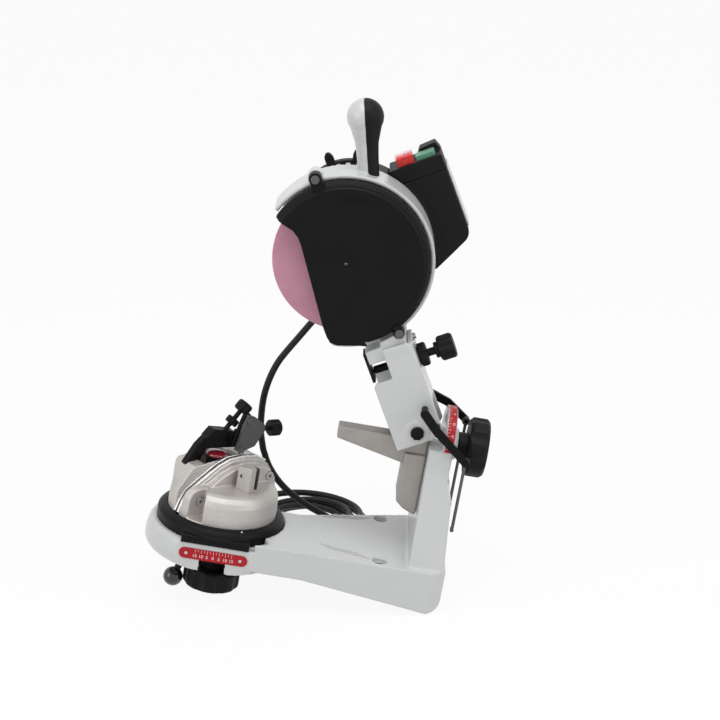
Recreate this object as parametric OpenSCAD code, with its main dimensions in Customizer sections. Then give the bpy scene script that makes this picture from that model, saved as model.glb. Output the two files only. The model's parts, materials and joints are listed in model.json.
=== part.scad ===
// Electric chainsaw sharpener: a bench grinder for saw chain, with a swinging head and a rotary chain vise.
// Level frame used by the modules: x = 0 below the wheel axis, +x to the column and the tilt knob,
// y = 0 in the plane of the wheel, +y towards the motor's end, z = 0 on top of the tray.
// stood() turns that frame nose up, so that the grinder stands on its lock knob and its rear edge.

/* [Grinding wheel] */
// Diameter of the grinding wheel
wheel_d = 145; // [130:1:150]
// Thickness of the grinding wheel
wheel_t = 4.7; // [3.2:0.1:6]
// Bore of the grinding wheel
wheel_bore = 22.2; // [20:0.1:25.4]

/* [Swing arm] */
// Distance of the swing pivot from the wheel axis
wheel_reach = 185; // [180:1:192]
// Lean of the line from the pivot to the wheel axis
reach_lean = 32; // [30:1:34]
// Lean of the arm's own edges
arm_lean = 29; // [27:1:31]
// Width of the arm across its two plates
arm_w = 50; // [46:1:56]
// Thickness of the arm's plates
arm_wall = 4.5; // [3.5:0.5:6]
// Length of the arm above the pivot
arm_h = 92; // [88:1:94]
// Height of the depth screw above the pivot, along the arm
depth_screw_u = 68; // [64:1:72]
// Diameter of the depth screw
depth_screw_d = 8; // [6:1:10]

/* [Wheel housing] */
// Outer radius of the painted wheel housing
housing_r = 86.5; // [84:0.5:90]
// Wall of the painted wheel housing
housing_wall = 4; // [3:0.5:5]
// Radius of the black wheel guard
guard_r = 82; // [79:0.5:83]
// Depth of the wheel guard
guard_depth = 13; // [11:0.5:16]
// Wall of the wheel guard
guard_wall = 2.5; // [2:0.5:3.5]

/* [Motor] */
// Outer radius of the ribbed motor case, over its ribs
motor_r = 52; // [50:0.5:56]
// Plane of the motor's far end
motor_end_y = 222; // [215:1:230]
// Number of cooling ribs round the motor case
rib_count = 30; // [24:1:36]
// Radius of the motor shaft
shaft_r = 7.5; // [6.5:0.5:8.5]
// Running clearance between a shaft and its bearing
run_gap = 0.05; // [0.02:0.01:0.1]

/* [Handle] */
// Radius of the round end of the handle
handle_ball_r = 18; // [16:0.5:20]
// Radius of the handle's waist
handle_neck_r = 11.5; // [10:0.5:13]
// Length of the handle from the housing to the centre of its round end
handle_len = 61; // [56:1:66]
// Lean of the handle towards the vise
handle_lean = 13; // [8:1:18]

/* [Switch box] */
// Length of the switch box
box_len = 54; // [50:1:58]
// Depth of the switch box along the motor
box_deep = 42; // [38:1:48]
// Lean of the switch box
box_lean = 30; // [26:1:34]
// Height of the switch box lid
lid_h = 16; // [13:1:20]
// Travel of the push buttons
button_travel = 2.5; // [1.5:0.5:3]

/* [Base] */
// Half width of the base on the near side
base_near = 66; // [64:1:70]
// Depth of the skirt below the tray at the front
skirt_h = 30; // [26:1:34]
// Depth of the base's rear edge below the tray
rear_drop = 45; // [40:1:48]
// Wall of the base casting
base_wall = 5; // [4:0.5:6]
// Distance between the two bench bolts
bolt_spacing = 108; // [100:1:112]
// Diameter of the bench bolt holes
bolt_hole_d = 8.5; // [6.5:0.5:10.5]
// Height of the tilt axis above the tray
tilt_z = 115; // [110:1:120]
// Radius of the column's rounded top
column_top_r = 37; // [34:1:40]

/* [Vise] */
// Distance from the wheel axis forward to the vise axis
vise_back = 81; // [79:1:83]
// Radius of the turntable ring
ring_r = 64.8; // [62:0.2:66]
// Radius of the vise casting's foot
vise_r = 55.3; // [53:0.1:57]
// Diameter of the vise stud
stud_d = 12; // [10:1:14]
// Radius of the lock knob under the base
lock_knob_r = 29; // [26:0.5:31]
// Angle of the chain slot to the grinding wheel
slot_turn = 37; // [30:1:40]
// Depth of the lock knob's foot below the tray
lock_knob_drop = 78; // [76:1:82]
// Height of the lock knob
lock_knob_h = 21; // [17:1:23]

/* [Tilt knob] */
// Radius of the tilt knob
tilt_knob_r = 30; // [27:0.5:32]
// Thickness of the tilt knob's rim
tilt_knob_t = 20; // [16:1:22]
// Diameter of the tilt stud
tilt_stud_d = 12; // [10:1:14]

/* [Mains lead] */
// Diameter of the mains lead
lead_d = 7; // [6:0.5:8]

/* [Hidden] */
$fn = 64;
eps = 0.01;

// Places that follow from the driving sizes.
vise_x = -vise_back;
pivot_x = wheel_reach * sin(reach_lean);
pivot_z = 129;
wheel_z = pivot_z + wheel_reach * cos(reach_lean);
column_front = 112;
column_back = 136;
rear_x = 150;
rear_round = 12;
tub_r = 74;
tub_floor = 38;
tub_round = 10;
seat_z = -8.3;
seat_gap = 0.3;
ring_top = 7.5;
cup_depth = 3;
neck_r = vise_r - 8;
stud_boss = 5.2;
tilt_knob_x = column_back + 15;
tilt_knob_edge = 3;

// The stance: the line that touches the lock knob's foot and the rounded rear edge is the table.
lock_knob_edge = 2;
foot_x = vise_x + lock_knob_r - lock_knob_edge;
contact_dx = foot_x - (rear_x - rear_round);
contact_dz = lock_knob_drop - rear_drop + rear_round;
contact_reach = sqrt(contact_dx * contact_dx + contact_dz * contact_dz);
stance = acos(rear_round / contact_reach) + atan2(contact_dx, contact_dz);
table_z = -foot_x * sin(stance) - lock_knob_drop * cos(stance);

// The frame's origin is on the table, below the middle of the grinder's own outline.
front_reach = (vise_x - tub_r + tub_round) * cos(stance) - (tub_floor - tub_round) * sin(stance) - tub_round;
knob_far_x = tilt_knob_x + tilt_knob_t - tilt_knob_edge;
knob_far_z = tilt_z + tilt_knob_r - tilt_knob_edge;
back_reach = knob_far_x * cos(stance) + knob_far_z * sin(stance) + tilt_knob_edge;
middle_x = (front_reach + back_reach) / 2;
tab_out = 2;
middle_y = (motor_end_y - base_near - tab_out) / 2;

module stood() {
    translate([-middle_x, -middle_y, -table_z])
        rotate([0, stance, 0])
            children();
}
module at_wheel() {
    stood() translate([pivot_x - wheel_reach * sin(reach_lean), 0, wheel_z]) children();
}
module at_arm() {
    stood() translate([pivot_x, 0, pivot_z]) rotate([0, -arm_lean, 0]) children();
}
module at_vise() {
    stood() translate([vise_x, 0, 0]) children();
}
module at_tilt() {
    stood() translate([0, 0, tilt_z]) children();
}
// The switch box's own frame: x along its top, z square to its top, from the wheel axis.
module at_box() {
    at_wheel() rotate([0, -box_lean, 0]) children();
}
// A round bar along y, from y0 to y1.
module y_bar(r, y0, y1) {
    translate([0, y1, 0]) rotate([90, 0, 0]) cylinder(r = r, h = y1 - y0);
}
// A round bar along x, from x0 to x1.
module x_bar(r, x0, x1) {
    translate([x0, 0, 0]) rotate([0, 90, 0]) cylinder(r = r, h = x1 - x0);
}
// A side view, drawn in x and z, given a thickness from y0 to y1.
module slab(y0, y1) {
    translate([0, y1, 0]) rotate([90, 0, 0]) linear_extrude(y1 - y0) children();
}
// A turned body along x, drawn as radius and place along x.
module turned_x() {
    rotate([0, 90, 0]) rotate_extrude() children();
}
// A turned body along y, drawn as radius and place along y.
module turned_y() {
    rotate([-90, 0, 0]) rotate_extrude() children();
}
// A turned body along z with its flutes, as a clamp knob has.
module fluted(r, h, count, depth, edge) {
    flute_r = r * 0.42;
    difference() {
        rotate_extrude()
            polygon([[0, 0], [r - edge, 0], [r, edge], [r, h - edge], [r - edge, h], [0, h]]);
        for (i = [0 : count - 1])
            rotate([0, 0, (i + 0.5) * 360 / count])
                translate([r + flute_r - depth, 0, -1])
                    cylinder(r = flute_r, h = h + 2);
    }
}

// ---------------------------------------------------------------- base
far_waist_y = 31;
far_rear_y = 88;
skirt_front_x = 8;
bolt_x = 83;
vise_swing = 15;
recess_af = 13.5;
recess_depth = 5.5;
facet_half = 35;
column_near = 60;
column_far = 74;
column_shoulder = 37;
shoulder_z = 96;
head_front = 125;

module tray_outline(inset) {
    polygon([
        [vise_x + facet_half, -base_near + inset],
        [rear_x - rear_round, -base_near + inset],
        [rear_x - inset, -base_near + rear_round],
        [rear_x - inset, far_rear_y - rear_round],
        [rear_x - rear_round, far_rear_y - inset * 1.2],
        [skirt_front_x - 8 - inset * 0.5, far_waist_y - inset * 1.1],
        [vise_x + facet_half, far_waist_y - inset * 1.1]
    ]);
}
// Side view of the skirt: level at the front, deeper to the rear, with a rounded rear edge.
module skirt_side() {
    polygon([
        [vise_x, 0],
        [vise_x, -skirt_h],
        [skirt_front_x, -skirt_h],
        [rear_x - rear_round, -rear_drop],
        [rear_x - rear_round, 0]
    ]);
    translate([rear_x - rear_round, -rear_drop + rear_round]) circle(r = rear_round);
    translate([rear_x - rear_round - 1, -rear_drop + rear_round])
        square([rear_round + 1, rear_drop - rear_round]);
}
module column_side() {
    polygon([
        [column_front, -2],
        [column_front, tilt_z + 3],
        [column_back, tilt_z + 3],
        [column_back, 80],
        [143, 68],
        [145.5, 30],
        [147.5, -2]
    ]);
}
module column_end(inset) {
    polygon([
        [-column_near + inset, -2],
        [-column_shoulder + inset, shoulder_z],
        [-column_shoulder + inset, tilt_z + 3 - inset],
        [column_shoulder - inset, tilt_z + 3 - inset],
        [column_shoulder - inset, shoulder_z],
        [column_far - inset, -2]
    ]);
}
module tub_body() {
    translate([vise_x, 0, 0]) rotate_extrude() {
        polygon([
            [0, seat_z],
            [69, seat_z],
            [72, -13],
            [tub_r, -24],
            [tub_r, -tub_floor + tub_round],
            [tub_r - tub_round, -tub_floor],
            [0, -tub_floor]
        ]);
        translate([tub_r - tub_round, -tub_floor + tub_round]) circle(r = tub_round);
    }
}
module base_casting() {
    stood() color([0.78, 0.79, 0.79]) difference() {
        union() {
            // Tray and skirt
            intersection() {
                translate([0, 0, -60]) linear_extrude(60) tray_outline(0);
                slab(-120, 120) skirt_side();
            }
            tub_body();
            // Flat on the front of the tub, behind the vise scale
            translate([vise_x - facet_half, -base_near, -skirt_h])
                cube([2 * facet_half, 30, skirt_h + seat_z]);
            // Column and its rounded top
            intersection() {
                slab(-120, 120) column_side();
                rotate([90, 0, 90]) linear_extrude(200) column_end(0);
            }
            translate([0, 0, tilt_z]) x_bar(column_top_r, head_front, column_back);
            // Boss of the tilt stud
            translate([0, 0, tilt_z]) x_bar(16, column_back - 1, column_back + stud_boss);
        }
        // Hollow under the tray
        difference() {
            translate([0, 0, -70]) linear_extrude(70 - base_wall - 1) tray_outline(base_wall);
            translate([vise_x, 0, -80]) cylinder(r = tub_r - base_wall, h = 90);
            for (side = [-1, 1])
                translate([bolt_x, side * bolt_spacing / 2, -80]) cylinder(r = 11, h = 90);
            translate([column_front - 4, -120, -80]) cube([4, 240, 90]);
        }
        // Hollow in the tub, round the vise stud's boss
        translate([vise_x, 0, 0]) rotate_extrude()
            polygon([[18, -80], [tub_r - base_wall - 2, -80], [tub_r - base_wall - 2, -24], [60, -16], [18, -16]]);
        // Hollow in the column, open to the hollow under the base
        intersection() {
            slab(-120, 120) polygon([
                [column_front + base_wall, -60],
                [column_front + base_wall, 70],
                [column_back - base_wall, 70],
                [137, 63],
                [140.5, 25],
                [142.5, -60]
            ]);
            rotate([90, 0, 90]) linear_extrude(200) union() {
                column_end(base_wall);
                translate([-column_near + base_wall, -60]) square([column_near + column_far - 2 * base_wall, 60]);
            }
        }
        // Flat front of the tub
        translate([vise_x - 100, -base_near - 20, -70]) cube([200, 20, 80]);
        // Seat of the ring
        translate([vise_x, 0, seat_z]) cylinder(r = ring_r + 0.4, h = 20);
        // Room for the ring's tab when the vise is turned
        translate([vise_x, 0, seat_z]) intersection() {
            cylinder(r = tub_r + tab_out + 0.5, h = 20);
            rotate([0, 0, vise_swing + 0.5]) translate([-100, -100, 0]) cube([100 + facet_half - 0.6, 60, 20]);
        }
        // Vise stud, bench bolts and tilt stud
        translate([vise_x, 0, -60]) cylinder(r = stud_d / 2 + run_gap, h = 80);
        for (side = [-1, 1]) translate([bolt_x, side * bolt_spacing / 2, 0]) {
            translate([0, 0, -70]) cylinder(d = bolt_hole_d, h = 80);
            translate([0, 0, -recess_depth]) cylinder(d = recess_af / cos(30), h = 10, $fn = 6);
        }
        translate([0, 0, tilt_z]) x_bar(tilt_stud_d / 2 + run_gap, column_front - 10, column_back + 10);
        // Grooves of the non-slip ribs at both edges of the tray
        for (side = [-1, 1]) for (i = [0 : 5])
            translate([22 + i * 7, side * (34 + i * 1.5), -0.8])
                rotate([0, 0, side * 38])
                    translate([0, -1.2, 0])
                        cube([20, 2.4, 2]);
    }
}
// Red scale plate on the front of the tub
scale_z = -19.5;
scale_half = 28.5;
scale_h = 11.5;
scale_t = 0.8;
rivet_pitch = 54;
module vise_scale() {
    at_vise() color([0.72, 0.07, 0.09]) difference() {
        slab(-base_near - scale_t, -base_near) {
            for (side = [-1, 1]) translate([side * scale_half, scale_z]) circle(d = scale_h);
            translate([-scale_half, scale_z - scale_h / 2]) square([2 * scale_half, scale_h]);
        }
        for (side = [-1, 1]) translate([side * rivet_pitch / 2, 0, scale_z]) y_bar(1.6, -base_near - 5, -base_near + 5);
    }
}
module scale_rivets() {
    at_vise() color([0.8, 0.8, 0.8]) for (side = [-1, 1])
        translate([side * rivet_pitch / 2, 0, scale_z]) y_bar(1.6, -base_near - scale_t - 0.5, -base_near);
}
// Red scale band on the column's rounded top
module tilt_scale() {
    at_tilt() color([0.72, 0.07, 0.09]) intersection() {
        difference() {
            x_bar(column_top_r + 0.8, head_front + 1, column_back - 1);
            x_bar(column_top_r, column_front, column_back + 1);
        }
        translate([column_front, -60, 3]) cube([60, 120, 80]);
    }
}

// ---------------------------------------------------------------- vise
module turntable_ring() {
    at_vise() color([0.09, 0.09, 0.1]) difference() {
        union() {
            rotate_extrude() polygon([
                [neck_r + seat_gap, seat_z],
                [ring_r, seat_z],
                [ring_r, 2],
                [ring_r - 3, 5.5],
                [vise_r + 1, ring_top],
                [neck_r + seat_gap, ring_top]
            ]);
            // Tab over the scale, with its flat front
            intersection() {
                translate([-facet_half + 1, -base_near - tab_out, seat_z]) cube([2 * facet_half - 2, 30, 8]);
                translate([0, 0, -20]) cylinder(r = tub_r + 2, h = 40);
            }
        }
        translate([0, 0, -20]) cylinder(r = neck_r + seat_gap, h = 40);
        // Cup in which the casting's foot turns
        translate([0, 0, ring_top - cup_depth]) cylinder(r = vise_r + seat_gap, h = 10);
    }
}
// The vise's own frame: x along the chain slot, y across it.
module at_slot() {
    at_vise() rotate([0, 0, slot_turn]) children();
}
// Top line of a chain rail, and the line of its lower edge, from the low front end over the casting.
rail_top_line = [
    [-56, 8.5], [-52.5, 20], [-47.5, 30], [-36, 39.5], [-15, 55.5], [-3, 61.5], [13, 64], [30, 62.5], [42, 57]
];
rail_low_line = [
    [-49, 8.5], [-45.5, 17], [-41, 24], [-31, 31.5], [-11, 48], [-1.5, 53], [13, 55.5], [29, 54], [39, 49.5]
];
function backwards(line) = [for (i = [len(line) - 1 : -1 : 0]) line[i]];
slot_half = 1.3;
rail_t = 3;
jaw_in = slot_half + rail_t + 0.1;
jaw_t = 11.5;
jaw_lip = 3;
jaw_step = 5;
shoulder_x = -33;
shelf_z = 37.5;
jaw_line = [
    [-53, 10], [-51.5, 22], [-46, 29.5], [-35.5, 37], [-15, 53], [-3, 59], [13, 61.5], [30, 60], [42, 54.5],
    [48, 47], [50, 38], [52, 10]
];
far_jaw_line = [
    [-51, 10], [-49, 36], [-42, 48], [-38, 52.5], [-13, 56.5], [13, 60], [30, 59], [42, 54], [47, 47], [50, 38],
    [52, 10]
];
stop_y = 22;
leg_foot_z = 50;
hold_x = -5;
hold_y = 17.5;
hold_floor = 38;
block_h = 26;
module vise_casting() {
    at_slot() color([0.62, 0.58, 0.55]) difference() {
        union() {
            // Drum with its rounded shelf
            rotate_extrude() polygon([
                [0, ring_top - cup_depth],
                [vise_r, ring_top - cup_depth],
                [vise_r, 14],
                [54.3, 27],
                [52.5, 32],
                [49, 36],
                [44, shelf_z],
                [0, shelf_z]
            ]);
            // Neck that turns in the ring, round the stud
            translate([0, 0, seat_z + 0.1]) cylinder(r = neck_r, h = 14);
            // Near jaw and far jaw, trimmed to the drum
            intersection() {
                union() {
                    slab(-jaw_in - jaw_lip, -jaw_in) polygon(jaw_line);
                    slab(-jaw_in - jaw_t, -jaw_in) polygon([for (q = jaw_line) q - [0, jaw_step]]);
                    slab(-jaw_in - 1, 36) polygon(far_jaw_line);
                }
                cylinder(r = vise_r - 1.3, h = 80);
            }
        }
        // Chain slot with the seats of both rails, open at the front end and along the top
        slab(-jaw_in, jaw_in) polygon(concat(
            [for (q = rail_low_line) [q[0], q[1] - 0.4]],
            [[70, 49.1], [70, 90], [-75, 90], [-75, ring_top - cup_depth - 1], [-49, ring_top - cup_depth - 1]]
        ));
        // Room in front of the near jaw's low end, with the drum's upright shoulder beside it
        translate([0, 0, ring_top + 0.5]) linear_extrude(80) polygon([
            [shoulder_x, -jaw_in - jaw_t], [shoulder_x - 30, -jaw_in - jaw_t - 40],
            [-80, -jaw_in - jaw_t - 40], [-80, -jaw_in - jaw_t]
        ]);
        // Stud
        translate([0, 0, -30]) cylinder(r = stud_d / 2, h = 62);
        // Pocket of the hold-down knob, open to the far left
        translate([hold_x - 21, jaw_in + 2.5, hold_floor]) cube([36, 28, 60]);
        // Seat of the chain stop's leg
        translate([-41, stop_y - 4, leg_foot_z]) cube([16, 8, 20]);
        // Seats of the two rail screws
        for (p = rail_screw_places) translate([p[0], 0, p[1]]) y_bar(4.6, -30, -jaw_in - jaw_t + 2);
        // Tapped hole under the slotted block
        translate([block_x, block_y, shelf_z - 12]) cylinder(r = 2.5, h = 20);
    }
}
rail_screw_places = [[-39, 24], [41, 44]];
module rail_side() {
    polygon(concat(rail_top_line, backwards(rail_low_line)));
}
module fixed_rail() {
    at_slot() color([0.75, 0.75, 0.76]) slab(slot_half, slot_half + rail_t) rail_side();
}
module moving_rail() {
    at_slot() color([0.75, 0.75, 0.76]) slab(-slot_half - rail_t, -slot_half) rail_side();
}
// Slotted block on the shelf, turned to face the front right
block_x = 6;
block_y = -28;
block_turn = -78;
module slotted_block() {
    at_slot() translate([block_x, block_y, shelf_z]) rotate([0, 0, block_turn]) color([0.6, 0.57, 0.54]) {
        difference() {
            translate([-9, -7, 0]) cube([18, 14, block_h]);
            translate([4, 0.5, 2.5]) cube([8, 5, block_h]);
            translate([0, 0, block_h - 1]) rotate([0, -12, 0]) translate([-20, -10, 0.2]) cube([40, 20, 10]);
            // Small hole in the near face
            translate([-4, 0, block_h * 0.55]) y_bar(1.9, -10, -2.5);
        }
        translate([0, 0, -10]) cylinder(r = 2.5, h = 10.5);
    }
}
module rail_screws() {
    at_slot() color([0.2, 0.2, 0.22]) for (p = rail_screw_places)
        translate([p[0], 0, p[1]]) difference() {
            y_bar(4.4, -jaw_in - jaw_t - 1, -jaw_in - jaw_t + 2);
            y_bar(2, -30, -jaw_in - jaw_t + 0.5, $fn = 6);
        }
}
module vise_stud() {
    at_vise() color([0.55, 0.55, 0.57])
        translate([0, 0, -lock_knob_drop + 6]) cylinder(d = stud_d, h = lock_knob_drop - 6 + 31);
}
// Clamp lever: a hub on the stud, a bent arm and a ball
lever_z = -48;
lever_turn = 196;
lever_reach = 31;
lever_drop = 160;
ball_r = 10;
module clamp_lever() {
    at_vise() color([0.1, 0.1, 0.11]) difference() {
        union() {
            translate([0, 0, lever_z - 5]) cylinder(r = 13, h = 10);
            rotate([0, 0, lever_turn]) {
                translate([0, 0, lever_z]) x_bar(3.5, 8, lever_reach);
                translate([lever_reach, 0, lever_z]) sphere(r = 4);
                translate([lever_reach, 0, lever_z]) rotate([0, lever_drop, 0]) cylinder(r = 3.5, h = 21);
            }
        }
        translate([0, 0, lever_z - 10]) cylinder(r = stud_d / 2 + run_gap, h = 20);
    }
}
module lever_ball() {
    at_vise() color([0.03, 0.03, 0.03]) rotate([0, 0, lever_turn])
        translate([lever_reach, 0, lever_z]) rotate([0, lever_drop, 0]) difference() {
            translate([0, 0, 26]) sphere(r = ball_r);
            translate([0, 0, -4]) cylinder(r = 3.5, h = 25);
        }
}
module lock_knob() {
    at_vise() color([0.1, 0.1, 0.11]) translate([0, 0, -lock_knob_drop]) difference() {
        union() {
            fluted(lock_knob_r, lock_knob_h, 8, 2.2, lock_knob_edge);
            translate([0, 0, lock_knob_h - 6]) cylinder(r = 12, h = 8);
        }
        // Open top round the hub
        difference() {
            translate([0, 0, lock_knob_h - 6]) cylinder(r = lock_knob_r - 6, h = 10);
            translate([0, 0, -1]) cylinder(r = 12, h = 40);
        }
        translate([0, 0, 6]) cylinder(r = stud_d / 2 + run_gap, h = 40);
    }
}
// Chain stop: a leg and block on the far jaw, the fork for the pawl, and their adjusters
screw_r = 2.5;
pawl_y = 4.6;
pawl_t = 4;
fork_y0 = pawl_y + pawl_t + 0.2;
fork_y1 = 13.2;
height_y = 12.9;
pawl_pin_x = 21;
pawl_pin_z = 97;
height_z = 84;
length_foot = [4, 82.6];
length_lean = 38.7;
module at_length_screw() {
    at_slot() translate([length_foot[0], stop_y, length_foot[1]]) rotate([0, length_lean, 0]) children();
}
module stop_bracket() {
    color([0.12, 0.12, 0.12]) difference() {
        at_slot() union() {
            slab(stop_y - 4, stop_y + 4) polygon([
                [-41, leg_foot_z], [-25, leg_foot_z], [-18, 65], [-12, 66], [-14, 80], [-21, 78], [-29, 70]
            ]);
            slab(stop_y - 6, stop_y + 6) polygon([
                [-20, 66], [-10, 66], [18, 64.5], [23, 72], [13, 82], [0, 84.5], [-13, 86.3], [-20, 78]
            ]);
            slab(fork_y0, fork_y1) polygon([
                [6, 70], [18, 66], [24, 74], [37, 77], [37, 91], [28, 92], [28, 99], [22, 104], [16, 102], [13, 92]
            ]);
            // Webs from the fork plate to the block, and the boss of the height screw
            slab(fork_y0, stop_y) polygon([[8, 70], [18, 66], [23, 72], [13, 82], [8, 83]]);
            slab(fork_y0, 17) polygon([[24, 77], [37, 77], [37, 91], [24, 91]]);
        }
        at_length_screw() translate([0, 0, -20]) cylinder(r = screw_r + run_gap, h = 40);
        at_slot() translate([0, height_y, height_z]) x_bar(screw_r + run_gap, 7, 50);
        at_slot() translate([pawl_pin_x, 0, pawl_pin_z]) y_bar(screw_r, 0, 30);
    }
}
module length_screw() {
    at_length_screw() color([0.08, 0.08, 0.09]) {
        translate([0, 0, -14]) cylinder(r = screw_r, h = 40);
        translate([0, 0, 24]) fluted(8.2, 11, 8, 1.2, 1.5);
    }
}
module length_nut() {
    at_length_screw() color([0.16, 0.16, 0.17]) translate([0, 0, 8]) difference() {
        fluted(6.8, 7, 12, 0.6, 0.8);
        translate([0, 0, -1]) cylinder(r = screw_r + run_gap, h = 10);
    }
}
module pawl() {
    at_slot() color([0.3, 0.3, 0.31]) difference() {
        union() {
            slab(pawl_y, pawl_y + pawl_t) polygon([
                [9, 66], [18, 64.5], [31.5, 69], [41, 85], [41, 91], [28, 100.5], [19, 103], [14.5, 92], [12, 76]
            ]);
            // Finger over the chain line
            slab(-1, pawl_y + 1) polygon([[9, 66], [15, 65.2], [15, 70], [9.5, 71]]);
        }
        translate([pawl_pin_x, 0, pawl_pin_z]) y_bar(screw_r + run_gap, 0, 30);
    }
}
module pawl_pin() {
    at_slot() translate([pawl_pin_x, 0, pawl_pin_z]) color([0.6, 0.6, 0.62]) {
        y_bar(screw_r, pawl_y - 1, fork_y1);
        y_bar(4, pawl_y - 2, pawl_y - 0.3);
    }
}
module height_screw() {
    at_slot() translate([0, height_y, height_z]) color([0.08, 0.08, 0.09]) {
        x_bar(screw_r, 10, 53);
        translate([52, 0, 0]) rotate([0, 90, 0]) fluted(8.8, 12, 8, 1.2, 1.5);
    }
}
module hold_down_knob() {
    at_slot() translate([hold_x, hold_y, hold_floor]) color([0.12, 0.12, 0.12]) {
        cylinder(r = 5, h = 6);
        translate([0, 0, 5]) fluted(9.6, 15, 10, 0.9, 1);
    }
}
module hold_down_cap() {
    at_slot() translate([hold_x, hold_y, hold_floor + 20]) color([0.5, 0.03, 0.05]) rotate_extrude()
        polygon([[0, 0], [10.4, 0], [10.8, 1], [10, 2.6], [7, 3.7], [0, 4.2]]);
}

// ---------------------------------------------------------------- tilt support
support_front = 90;
support_back = column_front - seat_gap;
tongue_tip = 21;
tongue_top = 117;
tongue_half = 9;
module tilt_support() {
    stood() color([0.62, 0.58, 0.55]) difference() {
        union() {
            // Tongue, deeper towards the pivot
            slab(-tongue_half, tongue_half) polygon([
                [tongue_tip, tongue_top],
                [tongue_tip, tongue_top - 12.5],
                [support_front + 4, 88],
                [support_back, 88],
                [support_back, tongue_top]
            ]);
            // Eye round the swing pivot
            translate([pivot_x, 0, pivot_z]) y_bar(14, -16, 16);
            slab(-16, 16) polygon([[support_front, 100], [support_back, 100], [pivot_x + 14, pivot_z], [pivot_x - 14, pivot_z]]);
            // Flat body that bears on the column
            slab(-20, 20) polygon([
                [support_front, 104],
                [support_front, 52],
                [support_front + 8, 45],
                [support_back - 2, 40],
                [support_back, 42],
                [support_back, 104]
            ]);
            translate([0, 0, tilt_z]) x_bar(15.5, support_back - 8, support_back);
        }
        translate([pivot_x, 0, pivot_z]) y_bar(pivot_r + run_gap, -30, 30);
        translate([0, 0, tilt_z]) x_bar(tilt_stud_d / 2, support_back - 8, support_back + 10);
    }
}
module tilt_stud() {
    at_tilt() color([0.55, 0.55, 0.57]) x_bar(tilt_stud_d / 2, support_back - 8, tilt_knob_x + tilt_knob_t - 6);
}
pivot_r = 6;
module pivot_pin() {
    at_arm() color([0.05, 0.05, 0.05]) {
        y_bar(pivot_r, -arm_w / 2 - 1, arm_w / 2 + 1);
        for (side = [-1, 1]) scale([1, side, 1])
            translate([0, -arm_w / 2 - 1, 0]) rotate([90, 0, 0]) fluted(6.6, 3.5, 8, 0.8, 0.8);
    }
}
module tilt_knob() {
    at_tilt() color([0.1, 0.1, 0.11]) difference() {
        translate([tilt_knob_x, 0, 0]) rotate([0, 90, 0]) {
            fluted(tilt_knob_r, tilt_knob_t, 7, 2.2, tilt_knob_edge);
            translate([0, 0, column_back + stud_boss + 0.3 - tilt_knob_x]) cylinder(r = 13, h = tilt_knob_x - column_back - stud_boss);
        }
        x_bar(tilt_stud_d / 2 + run_gap, column_back - 5, tilt_knob_x + tilt_knob_t - 5.5);
    }
}

// ---------------------------------------------------------------- swing arm
arm_front = -25;
arm_back = 25;
notch_u = 61;
inner_half = arm_w / 2 - arm_wall;
foot_u = 76;
module arm_plate() {
    polygon([
        [arm_front, -12],
        [arm_back - 4, -12],
        [arm_back, -8],
        [arm_back, notch_u + 5],
        [arm_back - 5, arm_h],
        [-5, arm_h],
        [-5, notch_u],
        [arm_front + 3, notch_u],
        [arm_front, notch_u - 3]
    ]);
}
module swing_arm() {
    at_arm() color([0.78, 0.79, 0.79]) difference() {
        union() {
            for (side = [-1, 1]) scale([1, side, 1]) slab(-arm_w / 2, -inner_half) arm_plate();
            // Back wall between the plates
            translate([arm_back - 5, -arm_w / 2 + 1, 22]) cube([5, arm_w - 2, arm_h - 24]);
            // Raised rings round the pivot
            for (side = [-1, 1]) scale([1, side, 1]) y_bar(12, -arm_w / 2 - 1, -inner_half + 1);
        }
        y_bar(pivot_r, -40, 40);
        translate([0, 0, depth_screw_u]) x_bar(depth_screw_d / 2 + run_gap, 10, 40);
        for (y = arm_bolt_y) translate([0, y, arm_bolt_u]) x_bar(3, 10, 40);
    }
}
arm_bolt_u = 86;
arm_bolt_y = [-10, 10];
module arm_bolts() {
    at_arm() color([0.6, 0.6, 0.62]) for (y = arm_bolt_y) translate([0, y, arm_bolt_u]) {
        x_bar(3, arm_back - 12, arm_back);
        x_bar(2.9, arm_back, arm_back + 3);
    }
}
module front_strip() {
    at_arm() color([0.06, 0.06, 0.06]) difference() {
        translate([-25, -18, notch_u]) cube([3, 20, 31]);
        translate([wheel_v, 0, wheel_u]) y_bar(housing_r + 1, -30, 30);
    }
}
knob_v = 46;
module depth_screw() {
    at_arm() translate([0, 0, depth_screw_u]) color([0.08, 0.08, 0.09]) {
        x_bar(depth_screw_d / 2, -21.5, knob_v + 4);
        x_bar(8, knob_v - 4, knob_v);
        translate([knob_v, 0, 0]) rotate([0, 90, 0]) fluted(13, 16, 8, 1.6, 2);
    }
}
module depth_nut() {
    at_arm() translate([arm_back + 0.3, 0, depth_screw_u]) color([0.07, 0.07, 0.08]) rotate([0, 90, 0]) difference() {
        fluted(12, 9, 5, 2.4, 1.5);
        translate([0, 0, -1]) cylinder(r = depth_screw_d / 2 + run_gap, h = 20);
    }
}
module return_spring() {
    // Close-wound torsion spring round the pivot pin, on one side of the support's eye
    at_arm() color([0.35, 0.35, 0.37]) difference() {
        y_bar(9.5, 16.2, inner_half - 1.2);
        y_bar(6.4, 0, 30);
    }
}
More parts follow.
